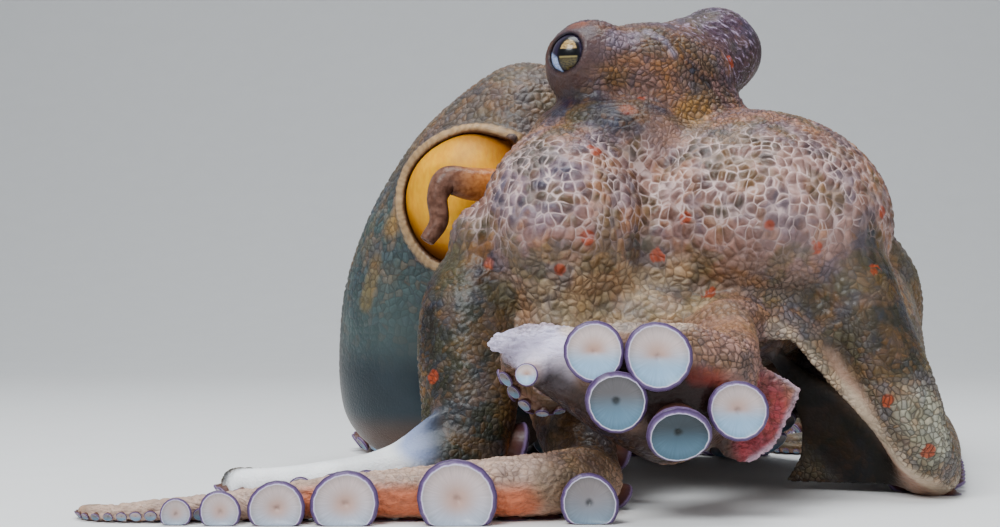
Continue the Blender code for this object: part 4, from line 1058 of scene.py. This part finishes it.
def form_shares(spots, near):
    """How much each vertex belongs to the head, crown, mantle and arms, fading into each other."""
    head = np.minimum(ball_distance(spots, HEAD, HEAD_TURN), ball_distance(spots, NECK, HEAD_TURN) + 1)
    head = np.minimum(head, ball_distance(spots, RIGHT_MOUND))
    head = np.minimum(head, ball_distance(spots, LEFT_MOUND))
    crown = ball_distance(spots, CROWN_CORE)
    crown = np.minimum(crown, ball_distance(spots, RIGHT_LOBE))
    crown = np.minimum(crown, ball_distance(spots, LEFT_LOBE))
    mantle = line_distance(spots, MANTLE_LINE) - MANTLE_GIRTH[3]
    arm = near["far"] - near["radius"] + 6 * smoothstep(70, 40, near["along"])
    away = np.clip(np.stack([head, crown, mantle, arm]), 0, None)
    share = np.exp(-(away - away.min(axis=0)) / 3.5)
    return dict(zip(("head", "crown", "mantle", "arm"), share / share.sum(axis=0)))


def arm_masks(spots, near):
    """The arms' surfaces, and on them the side of the suckers: on the raised arm round its large ones."""
    on_arm = smoothstep(1.5, 1.15, near["far"] / near["radius"]) * smoothstep(52, 66, near["along"])
    oral = smoothstep(0.15, 0.6, near["oral"]) * on_arm
    raised_arm = near["owner"] == list(arms).index("arm_r1")
    line = [rim for rim, radius in FRONT_SUCKERS["arm_r1"]]
    order = (5, 0, 1, 3, 4, 2)
    around = smoothstep(17, 13, polyline_distance(spots, [line[i] for i in order]))
    oral = np.where(raised_arm & (spots[:, 1] < 40), oral * around, oral)
    return on_arm, oral


def eye_distance(spots):
    """Distance to the middle of the nearer eye."""
    centres = [eye_centre(mound, looks) for mound, looks, gaze in EYES.values()]
    return np.minimum(*(np.linalg.norm(spots - centre, axis=1) for centre in centres))


def form_tones(spots, near, share):
    """The broad colours of head, crown, mantle and arms before any patch."""
    x, y, z = spots.T
    head_top = smoothstep(174, 185, z) + 0.6 * smoothstep(80, 94, x)
    head = tinted(srgb(*TONES["head"])[None], TONES["head_top"], head_top)
    crown = tinted(srgb(*TONES["crown_low"])[None], TONES["crown"], smoothstep(70, 98, z))
    mantle = tinted(srgb(*TONES["mantle"])[None], TONES["mantle_top"], smoothstep(105, 140, z))
    mantle = tinted(mantle, TONES["mantle_low"], smoothstep(62, 40, z) * 0.8)
    mantle = tinted(mantle, TONES["mantle_back"], smoothstep(165, 205, y) * 0.7)
    arm = np.array([srgb(*colour) for colour in ARM_TONES])[near["owner"]]
    tones = {"head": head, "crown": crown, "mantle": mantle, "arm": arm}
    return sum(share[name][:, None] * tone for name, tone in tones.items())


def fade(name, value):
    """0 to 1 over the span that FADES holds under a name."""
    return smoothstep(*FADES[name], value)


def skin_masks(mesh, spots, near):
    """Shares of each vertex in the opening, its rim, the arms, what faces down, and the eyes' lids; the
    opening and what faces down get painted shade.
    """
    normals = np.empty(len(spots) * 3, np.float32)
    mesh.vertices.foreach_get("normal", normals)
    down = fade("faces_down", normals.reshape(-1, 3)[:, 2])
    inside = inside_rim(spots)
    on_arm, oral = arm_masks(spots, near)
    eye = eye_distance(spots)
    return {
        "inside": inside,
        "rim": fade("rim", line_distance(spots, RIM_LOOP + RIM_LOOP[:1])) * (1 - inside),
        "on_arm": on_arm,
        "oral": oral,
        # Painted shade on flesh that faces down.
        "under": down * (1 - on_arm) * fade("under", spots[:, 2]),
        "lid": fade("lid", eye),
        "socket": fade("socket", eye),
    }


def rim_ribs(spots, rim):
    """Uneven waves along the rim of the mantle's opening, from -1 to 1."""
    x, y, z = (spots - np.mean(RIM_LOOP, axis=0) * (1, 0, 1)).T
    turn = np.arctan2(z, x)
    return rim * np.sin(RIM_RIBS * turn + 2.2 * np.sin(9 * turn) + 0.8 * np.sin(0.7 * y))


def skin_tone(spots, near, share, mask, ribs):
    """Each vertex's broad colour, and how much of its pattern the patches and masks leave it."""
    tone = form_tones(spots, near, share)
    # Painted shade on what faces down.
    tone = tinted(tone, TONES["under"], mask["under"] * 0.8)
    tone = tinted(tone, TONES["oral"], mask["oral"] * 0.8)
    calm = (1 - mask["oral"]) * (1 - mask["inside"]) * (1 - 0.8 * mask["lid"])
    calm = calm * (1 - 0.9 * mask["rim"]) * (1 - 0.2 * mask["under"])
    for places, reach, colour, strength, smooth in PATCHES.values():
        cover = smoothstep(reach, reach * 0.4, polyline_distance(spots, places))
        tone = tinted(tone, colour, strength * cover)
        calm = calm * (1 - smooth * cover)
    tone = tone * (1 - ROUGH_SHADE * calm)[:, None]
    tone = tinted(tone, TONES["rim"], mask["rim"] * 0.9)
    tone = tone * (1 + RIB_SHADE * ribs)[:, None]
    # Painted shade inside the mantle's opening.
    tone = tinted(tone, TONES["cavity"], mask["inside"])
    tone = tinted(tone, TONES["lid"], 0.8 * mask["lid"])
    return tinted(tone, TONES["socket"], mask["socket"]), calm


def wrinkle_weight(spots, near, oral):
    """Wrinkles on the pale fold, the flap, the low arm's top and between the suckers."""
    cover = {name: fade(name, polyline_distance(spots, PATCHES[name][0])) for name in WRINKLED}
    weight = 0.9 * cover["fold_of_front_arm"] * (1 - oral) + 0.35 * oral * smoothstep(6, 12, near["radius"])
    return weight + cover["flap"] + 0.7 * cover["bottom_arm_top"]


def pattern_weights(spots, near, share, mask, calm):
    """How strong each of the skin's patterns is at each vertex."""
    x, y, z = spots.T
    slim = fade("slim", near["radius"]) * mask["on_arm"] + (1 - mask["on_arm"])
    top = fade("streaks", polyline_distance(spots, MOUND_STREAKS)) * share["head"]
    spot = np.zeros(len(spots))
    for place in ORANGE_SPOTS:
        spot = np.maximum(spot, smoothstep(SPOT_REACH, 0, np.linalg.norm(spots - place, axis=1)))
    near_crown = share["crown"] + share["arm"] * smoothstep(90, 55, near["along"])
    outer_arm = share["arm"] * smoothstep(55, 90, near["along"]) * slim
    skirt = fade("skirt_edge", polyline_distance(spots, PATCHES["skirt_edge"][0]))
    ragged = 3 * np.sin(0.31 * x + 1.1 * np.sin(0.23 * y)) + 2 * np.sin(0.57 * x + 0.41 * y)
    neck = fade("neck", z + ragged - 4 * smoothstep(60, 100, x))
    low = fade("low_crown", z + 0.5 * ragged)
    mantle = share["mantle"] * fade("mantle_bumps", z + 0.25 * (y - 150))
    mottled = share["crown"] + 0.6 * share["head"] + 0.4 * share["mantle"] * smoothstep(60, 110, z)
    return {
        "cells": near_crown * (1 - neck) * (1 - skirt) * (1 - low) * calm,
        "net": share["crown"] * fade("net", z) * (1 - neck) * calm,
        "grains": np.clip(share["crown"] * neck + outer_arm + share["head"] - 0.8 * top + skirt, 0, 1) * calm,
        "bumps": (mantle + low * near_crown * (1 - skirt)) * calm,
        "streaks": top * calm,
        "wrinkles": wrinkle_weight(spots, near, mask["oral"]),
        "orange": spot * np.minimum(1, 1.5 * calm),
        "mottled": (mottled + 0.6 * share["arm"]) * calm,
    }


def paint_skin(mesh, spots, near):
    """Stores at each vertex its undisturbed place, its broad colour and how strong each pattern is."""
    share = form_shares(spots, near)
    mask = skin_masks(mesh, spots, near)
    ribs = rim_ribs(spots, mask["rim"])
    tone, calm = skin_tone(spots, near, share, mask, ribs)
    set_attribute(mesh, "rest", spots, "FLOAT_VECTOR")
    set_attribute(mesh, "tone", np.hstack([tone, np.ones((len(tone), 1))]), "FLOAT_COLOR")
    set_attribute(mesh, "ribs", RIB_HEIGHT * ribs)
    for name, values in pattern_weights(spots, near, share, mask, calm).items():
        set_attribute(mesh, name, values)


def raised(obj):
    """Applies the relief and keeps the skin above the floor."""
    step = obj.modifiers.new("relief", "NODES")
    step.node_group = relief()
    applied(obj)
    spots = coordinates(obj.data)
    spots[:, 2] = np.maximum(spots[:, 2], 0.0)
    obj.data.vertices.foreach_set("co", spots.astype(np.float32).ravel())
    shade_smooth(obj.data)
    obj.data.update()


def scaled(tree, colour, amount):
    return add(tree, "ShaderNodeVectorMath", {0: colour, 3: amount}, operation="SCALE").outputs[0]


def parts_of(tree, colour):
    return add(tree, "ShaderNodeSeparateColor", {0: colour}).outputs


def tone_of(name):
    return screen(*TONES[name])


def new_material(name, roughness, coat=0.0, coat_roughness=0.2, soft=0.0, shine=0.5):
    """A material with its shader's constants, its node tree and its shader."""
    material = bpy.data.materials.new(name)
    material.use_nodes = True
    tree = material.node_tree
    shader = tree.nodes["Principled BSDF"]
    shader.inputs["Roughness"].default_value = roughness
    shader.inputs["Specular IOR Level"].default_value = shine
    shader.inputs["Coat Weight"].default_value = coat
    shader.inputs["Coat Roughness"].default_value = coat_roughness
    shader.inputs["Subsurface Weight"].default_value = soft
    shader.inputs["Subsurface Radius"].default_value = (1.0, 0.45, 0.3)
    shader.inputs["Subsurface Scale"].default_value = 0.003
    return material, tree, shader


def bumped(tree, shader, height, depth):
    normal = add(tree, "ShaderNodeBump", {"Height": height, "Distance": depth * MM, "Strength": 1.0})
    tree.links.new(normal.outputs[0], shader.inputs["Normal"])


def speckled(tree, colour, found, weight):
    """The colour varied from cell to cell, grain to grain and bump to bump."""
    for kind, tint, change, share in SPECKLES:
        red, green, blue = list(parts_of(tree, found[tint]))
        spread = times(tree, number(tree, "SUBTRACT", red, 0.5), weight[kind])
        colour = scaled(tree, colour, number(tree, "MULTIPLY_ADD", spread, change, 1.0))
        ochre = times(tree, ramp(tree, green, 0.66, 0.95), weight[kind])
        colour = mix(tree, times(tree, ochre, share), colour, tone_of("ochre"))
        other = times(tree, ramp(tree, blue, 0.62, 0.9), weight[kind])
        colour = mix(tree, times(tree, other, share), colour, tone_of("slate"))
    return colour


def shaded(tree, colour, share, strength, name):
    return mix(tree, times(tree, share, strength), colour, tone_of(name))


def skin_material():
    """Mottled skin of cells, grains and bumps, no two alike, with painted shade in the gaps and a pale net.
    """
    material, tree, shader = new_material("skin", 0.4, coat=0.16, coat_roughness=0.22, soft=0.04, shine=0.14)
    found = patterns(tree)
    colour = add(tree, "ShaderNodeAttribute", attribute_name="tone").outputs["Color"]
    names = ("cells", "net", "grains", "bumps", "streaks", "wrinkles", "orange", "mottled")
    weight = {name: read(tree, name) for name in names}
    colour = scaled(tree, colour, ramp(tree, found["broad"], 0.3, 0.7, 0.82, 1.18))
    for channel, (name, strength) in zip(parts_of(tree, found["mottle"]), MOTTLES):
        cover = times(tree, ramp(tree, channel, 0.49, 0.60), weight["mottled"])
        colour = shaded(tree, colour, cover, strength, name)
    colour = speckled(tree, colour, found, weight)
    cell_red = parts_of(tree, found["cell_tint"])[0]
    orange = ramp(tree, number(tree, "MULTIPLY_ADD", cell_red, 0.5, weight["orange"]), 0.75, 1.0)
    colour = shaded(tree, colour, orange, 0.85, "orange")
    margin = times(tree, ramp(tree, found["cell"], 0.36, 0.64), weight["net"])
    colour = shaded(tree, colour, margin, 0.15, "net")
    centre = times(tree, ramp(tree, found["cell"], 0.62, 0.30), weight["net"])
    colour = shaded(tree, colour, centre, 0.34, "pigment_and_crevice_shade")
    # Painted shade in the gaps between cells, grains and bumps.
    gaps = number(tree, "SUBTRACT", weight["cells"], weight["net"])
    for edge, share, strength in (("cell_edge", gaps, 0.6), ("grain_edge", weight["grains"], 0.6),
                                  ("bump_edge", weight["bumps"], 0.38)):
        gap_shade = times(tree, ramp(tree, found[edge], 0.15, 0.02), share)
        colour = shaded(tree, colour, gap_shade, strength, "pigment_and_crevice_shade")
    line = times(tree, ramp(tree, found["cell_edge"], 0.10, 0.02), weight["net"])
    line = times(tree, line, ramp(tree, found["run"], 0.40, 0.60, 0.10, 1.0))
    colour = shaded(tree, colour, line, 0.62, "net")
    # Painted shade in the folds of the wrinkles.
    fold = times(tree, ramp(tree, found["wrinkle"], 0.47, 0.36), weight["wrinkles"])
    colour = shaded(tree, colour, fold, 0.30, "pigment_and_crevice_shade")
    streak = times(tree, ramp(tree, found["streak"], 0.55, 0.68), weight["streaks"])
    colour = shaded(tree, colour, streak, 0.7, "lilac")
    dark = times(tree, ramp(tree, found["streak"], 0.48, 0.36), weight["streaks"])
    colour = shaded(tree, colour, dark, 0.5, "pigment_and_crevice_shade")
    tree.links.new(colour, shader.inputs["Base Color"])
    fine = times(tree, noise(tree, found["rest"], 0.9, 3.0), 0.35)
    bumped(tree, shader, number(tree, "MULTIPLY_ADD", skin_height(tree, found), 0.5, fine), 1.0)
    return material


def sucker_material():
    """A cup with painted light, blue-white, on its lower half and painted shade, tan, on its upper half, or
    grey-green, with a white rim and a purple collar, and painted shade in its middle hole and near its rim.
    """
    material, tree, shader = new_material("sucker", 0.34, coat=0.12, soft=0.04, shine=0.2)
    disc = read(tree, "disc", vector=True)
    uneven = noise(tree, vector(tree, "MULTIPLY", disc, (7.0, 7.0, 1.0)), 1.0, 3.0)
    uneven = number(tree, "SUBTRACT", uneven, 0.5)
    ring = number(tree, "MULTIPLY_ADD", uneven, 0.03, times(tree, read(tree, "ring"), 0.5))
    node = add(tree, "ShaderNodeValToRGB", {0: ring})
    elements = node.color_ramp.elements
    while len(elements) < len(SUCKER_COLOURS):
        elements.new(0.5)
    for element, (position, colour) in zip(elements, SUCKER_COLOURS):
        element.position = position
        element.color = screen(*colour)
    rays = noise(tree, vector(tree, "MULTIPLY", disc, (16.0, 16.0, 1.0)), 1.0, 2.0)
    shade, lift = read(tree, "shade"), read(tree, "lift")
    # Painted light from above: blue-white on the cup's lower half, shaded tan or dark grey on its upper half.
    low = mix(tree, shade, screen(150, 184, 214), screen(86, 118, 138))
    high = mix(tree, shade, screen(214, 194, 190), screen(60, 68, 74))
    cup = mix(tree, ramp(tree, lift, -0.5, 0.42), low, high)
    # Warmer painted shade near the middle of the upper half.
    tan = times(tree, ramp(tree, ring, 0.34, 0.06), number(tree, "SUBTRACT", 0.75, shade))
    tan = times(tree, tan, ramp(tree, lift, -0.18, 0.06))
    cup = mix(tree, tan, cup, screen(190, 140, 112))
    # Painted shade in the hole in the cup's middle.
    hollow = times(tree, ramp(tree, ring, 0.11, 0.03), shade)
    cup = mix(tree, times(tree, hollow, 0.85), cup, screen(44, 46, 44))
    rays = times(tree, number(tree, "SUBTRACT", rays, 0.5), ramp(tree, ring, 0.1, 0.42))
    cup = scaled(tree, cup, number(tree, "MULTIPLY_ADD", rays, 0.45, 1.0))
    # Painted shade in the cup towards its rim.
    cup = scaled(tree, cup, ramp(tree, ring, 0.34, 0.47, 1.0, 0.78))
    colour = mix(tree, ramp(tree, ring, 0.480, 0.462), node.outputs[0], cup)
    tree.links.new(colour, shader.inputs["Base Color"])
    bumped(tree, shader, rays, 0.12)
    return material


def eye_material():
    """An iris, gold above a level dark pupil and olive below it, with blue-white skin low beside it."""
    material, tree, shader = new_material("eye", 0.3, coat=0.3, coat_roughness=0.05, shine=0.2)
    local = read(tree, "look", vector=True)
    side, up, front = add(tree, "ShaderNodeSeparateXYZ", {0: local}).outputs
    fleck = noise(tree, vector(tree, "MULTIPLY", local, (9.0, 22.0, 9.0)), 1.0, 3.0)
    gold = mix(tree, ramp(tree, fleck, 0.35, 0.65), screen(128, 98, 54), screen(186, 156, 104))
    lower = mix(tree, ramp(tree, fleck, 0.35, 0.65), screen(38, 32, 18), screen(88, 76, 40))
    colour = mix(tree, ramp(tree, up, 0.26, 0.32), lower, gold)
    line = times(tree, ramp(tree, up, -0.02, 0.01), ramp(tree, up, 0.09, 0.06))
    colour = mix(tree, times(tree, line, 0.7), colour, screen(150, 136, 92))
    bar = times(tree, ramp(tree, up, 0.05, 0.09), ramp(tree, up, 0.40, 0.36))
    colour = mix(tree, bar, colour, (0.003, 0.003, 0.004, 1))
    place = vector(tree, "SUBTRACT", local, (0.0, IRIS_RISE, 0.0))
    place = vector(tree, "MULTIPLY", place, (1 / IRIS[0], 1 / IRIS[1], 0.0))
    reach = add(tree, "ShaderNodeVectorMath", {0: place}, operation="LENGTH").outputs[1]
    white = mix(tree, ramp(tree, fleck, 0.3, 0.7), screen(112, 132, 184), screen(176, 194, 228))
    fall = number(tree, "MULTIPLY_ADD", side, 0.6, up)
    skin = mix(tree, ramp(tree, fall, -0.22, -0.42), screen(36, 28, 50), white)
    colour = mix(tree, ramp(tree, reach, 0.88, 1.0), colour, (0.006, 0.005, 0.008, 1))
    colour = mix(tree, ramp(tree, reach, 1.12, 1.24), colour, skin)
    tree.links.new(colour, shader.inputs["Base Color"])
    bumped(tree, shader, fleck, 0.02)
    return material


def lining_material():
    """Yolk yellow with faint stripes, with brown painted shade at its edge and at the upper right."""
    material, tree, shader = new_material("lining", 0.4, coat=0.06, soft=0.05, shine=0.12)
    rest = read(tree, "rest", vector=True)
    stripe = noise(tree, vector(tree, "MULTIPLY", rest, (1.0, 1.0, 0.4)), 1.6, 3.0)
    colour = mix(tree, ramp(tree, stripe, 0.2, 0.8), screen(228, 154, 16), screen(242, 176, 26))
    colour = scaled(tree, colour, ramp(tree, noise(tree, rest, 12.0, 2.0), 0.3, 0.7, 0.8, 1.1))
    # Brown painted shade at the edge and at the upper right.
    colour = mix(tree, times(tree, read(tree, "edge"), 0.85), colour, screen(132, 62, 16))
    tree.links.new(colour, shader.inputs["Base Color"])
    bumped(tree, shader, stripe, 0.12)
    return material


def funnel_material():
    """Orange-brown at the root, grey-brown at the bend and purple-brown at the end."""
    material, tree, shader = new_material("funnel", 0.38, coat=0.12, soft=0.05, shine=0.15)
    rest = read(tree, "rest", vector=True)
    grain = noise(tree, rest, 2.4, 3.0)
    along = read(tree, "way")
    root = mix(tree, ramp(tree, grain, 0.3, 0.7), screen(158, 86, 32), screen(196, 124, 58))
    end = mix(tree, ramp(tree, grain, 0.3, 0.7), screen(84, 54, 42), screen(118, 84, 70))
    colour = mix(tree, ramp(tree, along, 0.34, 0.62), root, end)
    tree.links.new(colour, shader.inputs["Base Color"])
    bumped(tree, shader, grain, 0.5)
    return material


def turned(direction, towards, angle):
    return unit(math.cos(angle) * direction + math.sin(angle) * towards)


def row_suckers(name):
    """Rim, axis and radius of every sucker in an arm's two rows, without those of its front span."""
    arm = arms[name]
    low, high, what = FRONT_SPANS.get(name, (0, 0, "both"))
    distance, row, found = ROW_START, 1, []
    while distance < arm["along"][-1] - 1.0:
        middle, radius, looks, side = [value[0] for value in stations(arm, np.array([distance]))]
        taken = low < distance < high and (what == "both" or row > 0)
        if not taken:
            across = radius * ARM_WIDTH * math.sin(SUCKER_ROW) * row * side
            skin = middle + across + radius * arm["oral"] * math.cos(SUCKER_ROW) * looks
            axis = turned(looks, row * side, SUCKER_LEAN)
            size = SUCKER_SIZE[0] + SUCKER_SIZE[1] * radius
            found.append((skin + axis * SUCKER_RISE * radius, axis, size))
        distance += SUCKER_STEP[0] + SUCKER_STEP[1] * radius
        row = -row
    return found


def sucker_places(rng, rim, axis, radius, angles):
    """One sucker's rings, a little uneven, and pressed together where they would reach the floor."""
    outline = np.array(SUCKER_OUTLINE)
    turn = np.array(Vector(axis).to_track_quat("Z", "Y").to_matrix())
    phase = rng.uniform(0, math.tau, 3)
    wobble = 1 + 0.022 * np.sin(2 * angles + phase[0]) + 0.014 * np.sin(3 * angles + phase[1])
    wobble += 0.005 * np.sin(17 * angles + phase[2])
    deep = outline[:, 1] * rng.uniform(0.9, 1.15)
    waves = 0.012 * np.sin(2 * angles + phase[1])
    local = np.stack([
        outline[:, :1] * np.cos(angles) * wobble,
        outline[:, :1] * np.sin(angles) * wobble,
        deep[:, None] + np.broadcast_to(waves, (len(outline), len(angles))),
    ], axis=-1) * radius
    places = local @ turn.T + np.array(rim)
    low = np.minimum(places[..., 2] - SUCKER_CLEAR, 0)
    pressed = SUCKER_PRESS * (np.exp(low / SUCKER_PRESS) - 1)
    places[..., 2] = np.maximum(places[..., 2], SUCKER_CLEAR) + pressed
    return places


def sucker_mesh(name, cups, corners, seed, blue=1.0):
    """All the given suckers as one mesh, with what the material needs to know of each."""
    rng = np.random.default_rng(seed)
    outline = np.array(SUCKER_OUTLINE)
    angles = np.linspace(0, math.tau, corners, endpoint=False)
    made = np.array([sucker_places(rng, rim, axis, radius, angles) for rim, axis, radius, shade in cups])
    obj = lofts(name, (made - MIDDLE) * MM)
    shape = made.shape[:3]
    facts = np.array([(rim[2], radius, shade) for rim, axis, radius, shade in cups])
    heights, radii, shades = facts.T[..., None, None]
    set_attribute(obj.data, "ring", np.broadcast_to(outline[None, :, 2:], shape))
    set_attribute(obj.data, "shade", np.broadcast_to(shades, shape))
    # Each vertex's height in its cup, scaled by blue, which the material turns into painted light below and
    # painted shade above.
    set_attribute(obj.data, "lift", blue * (made[..., 2] - heights) / radii + 0.2 * (1 - blue))
    disc = np.stack(np.broadcast_arrays(np.cos(angles), np.sin(angles), outline[:, :1]), axis=-1)
    set_attribute(obj.data, "disc", np.broadcast_to(disc[None], (*shape, 3)), "FLOAT_VECTOR")
    return obj


def all_suckers():
    """The rows of every arm, and the large suckers in front with more detail."""
    rng = np.random.default_rng(SEED)
    made = []
    for order, name in enumerate(arms):
        cups = [(*cup, rng.uniform(0.3, 0.8)) for cup in row_suckers(name)]
        made.append(sucker_mesh(name + "_suckers", cups, ROW_SUCKER, SEED + order))
    for name, cups in FRONT_SUCKERS.items():
        cups = [(rim, axis, radius, shade) for (rim, radius), (shade, axis) in zip(cups, LARGE_LOOKS[name])]
        seed = SEED + len(made)
        made.append(sucker_mesh(name + "_large_suckers", cups, FINE_SUCKER, seed, LARGE_PAINTED_LIGHT[name]))
    material = sucker_material()
    for obj in made:
        obj.data.materials.append(material)
    return made


def eye(name, material):
    """An eyeball with, at each vertex, where it lies as seen along the gaze."""
    mound, looks, gaze = EYES[name]
    centre = eye_centre(mound, looks)
    obj = ellipsoid(name, {"centre": tuple(centre), "radius": EYE_RADIUS - 0.12}, rings=56)
    gaze = unit(gaze)
    side = unit(np.cross((0, 0, 1), gaze))
    up = np.cross(gaze, side)
    out = coordinates(obj.data) / MM + MIDDLE - centre
    set_attribute(obj.data, "look", out @ np.stack([side, up, gaze], axis=1) / EYE_RADIUS, "FLOAT_VECTOR")
    shade_smooth(obj.data)
    obj.data.materials.append(material)
    return obj


def funnel():
    """The siphon as a soft tube with a real bore at its free end."""
    places, outside = funnel_rings(1.0)
    inner = funnel_rings(FUNNEL_BORE["share"])[1]
    lip = (outside[-1] + inner[-1]) / 2 + unit(places[-1] - places[-2]) * FUNNEL_LIP
    bore = inner[::-1][:FUNNEL_BORE["rings"]]
    rings = np.concatenate([outside, lip[None], bore])
    way = np.concatenate([np.linspace(0, 1, len(outside)), np.ones(len(bore) + 1)])
    obj = lofts("funnel_skin", [(rings - MIDDLE) * MM])
    set_attribute(obj.data, "rest", rings, "FLOAT_VECTOR")
    set_attribute(obj.data, "way", np.repeat(way, rings.shape[1]))
    obj.data.materials.append(funnel_material())
    return obj


def lining():
    """The smooth yellow-orange bulge inside the mantle's opening."""
    obj = ellipsoid("lining", LINING, lean=LINING["lean"], grow=-0.2, rings=64)
    cut(obj, rim_plug("lining_limit", **LINING_LIMIT), "INTERSECT")
    obj.data.materials.clear()
    spots = coordinates(obj.data) / MM + MIDDLE
    set_attribute(obj.data, "rest", spots, "FLOAT_VECTOR")
    # Painted shade, stored as edge, towards the bulge's edge and at the upper right.
    shade_at_upper_right = smoothstep(*LINING_PAINTED_SHADE["span"], spots @ LINING_PAINTED_SHADE["way"])
    shade_at_edge = smoothstep(*LINING_PAINTED_SHADE["reach"], polyline_distance(spots, (LINING_PAINTED_SHADE["middle"],)))
    set_attribute(obj.data, "edge", np.maximum(shade_at_upper_right, shade_at_edge))
    shade_smooth(obj.data)
    obj.data.materials.append(lining_material())
    return obj


def floor_sheet():
    """A pale floor that curves up behind."""
    profile = [(FLOOR["front"], 0), (FLOOR["bend"], 0)]
    for angle in np.linspace(0, math.pi / 2, 13):
        profile.append((FLOOR["bend"] * (1 + math.sin(angle)), FLOOR["bend"] * (1 - math.cos(angle))))
    profile.append((2 * FLOOR["bend"], FLOOR["top"]))
    bm = bmesh.new()
    rows = [[bm.verts.new(at(x, y, z)) for x in (-FLOOR["side"], FLOOR["side"])] for y, z in profile]
    for one, two in zip(rows, rows[1:]):
        bm.faces.new((one[0], one[1], two[1], two[0]))
    mesh = bpy.data.meshes.new("floor")
    bm.to_mesh(mesh)
    bm.free()
    shade_smooth(mesh)
    material, tree, shader = new_material("floor", 0.7)
    grain = noise(tree, add(tree, "ShaderNodeTexCoord").outputs["Object"], 0.02, 3.0)
    colour = mix(tree, grain, (0.84, 0.84, 0.84, 1), (0.88, 0.88, 0.88, 1))
    tree.links.new(colour, shader.inputs["Base Color"])
    mesh.materials.append(material)
    return object_of("floor", mesh)


def lamps():
    """Soft lamps that point at the animal, and a faint even light from all round."""
    for name, place, size, power in LAMPS:
        data = bpy.data.lights.new(name, "AREA")
        data.size = size
        data.energy = power
        data.color = LAMP_COLOUR
        lamp = object_of(name, data)
        lamp.location = at(*place)
        aim = at(*LAMP_AIM) - lamp.location
        lamp.rotation_euler = aim.to_track_quat("-Z", "Y").to_euler()
    world = bpy.data.worlds.new("studio")
    world.use_nodes = True
    world.node_tree.nodes["Background"].inputs[0].default_value = WORLD_COLOUR
    world.node_tree.nodes["Background"].inputs[1].default_value = WORLD_STRENGTH
    bpy.context.scene.world = world


def stage():
    """The floor, the lamps and the camera of the photograph."""
    floor_sheet()
    lamps()
    data = bpy.data.cameras.new("camera")
    data.lens = CAMERA["lens"]
    data.sensor_width = CAMERA["sensor"]
    data.clip_start, data.clip_end = 0.01, 20
    camera = object_of("camera", data)
    camera.location = at(*CAMERA["place"])
    camera.rotation_euler = (math.pi / 2, 0, 0)
    bpy.context.scene.camera = camera


def clear_scene():
    for obj in list(bpy.data.objects):
        bpy.data.objects.remove(obj, do_unlink=True)


def dress(nodes):
    """Every visible piece of the animal, each standing for its nodes of the CAD model."""
    skin, spots, near = blended_skin()
    paint_skin(skin.data, spots, near)
    raised(skin)
    skin.data.materials.clear()
    skin.data.materials.append(skin_material())
    glass = eye_material()
    own = {
        "eye_right": (eye("right_eye", glass), "eye_glass"),
        "eye_left": (eye("left_eye", glass), "eye_glass"),
        "funnel": (funnel(), "funnel_skin"),
        "mantle_lining": (lining(), "lining_skin"),
    }
    for node, (obj, slot) in own.items():
        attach(obj, "root")
        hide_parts(node)
    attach(skin, "root")
    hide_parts(*sorted(set(nodes) - set(own)))
    for obj in all_suckers():
        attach(obj, "root")


clear_scene()
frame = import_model()
arms = {name: trace_arm(spec) for name, spec in ARMS.items()}
dress(frame["nodes"])
stage()
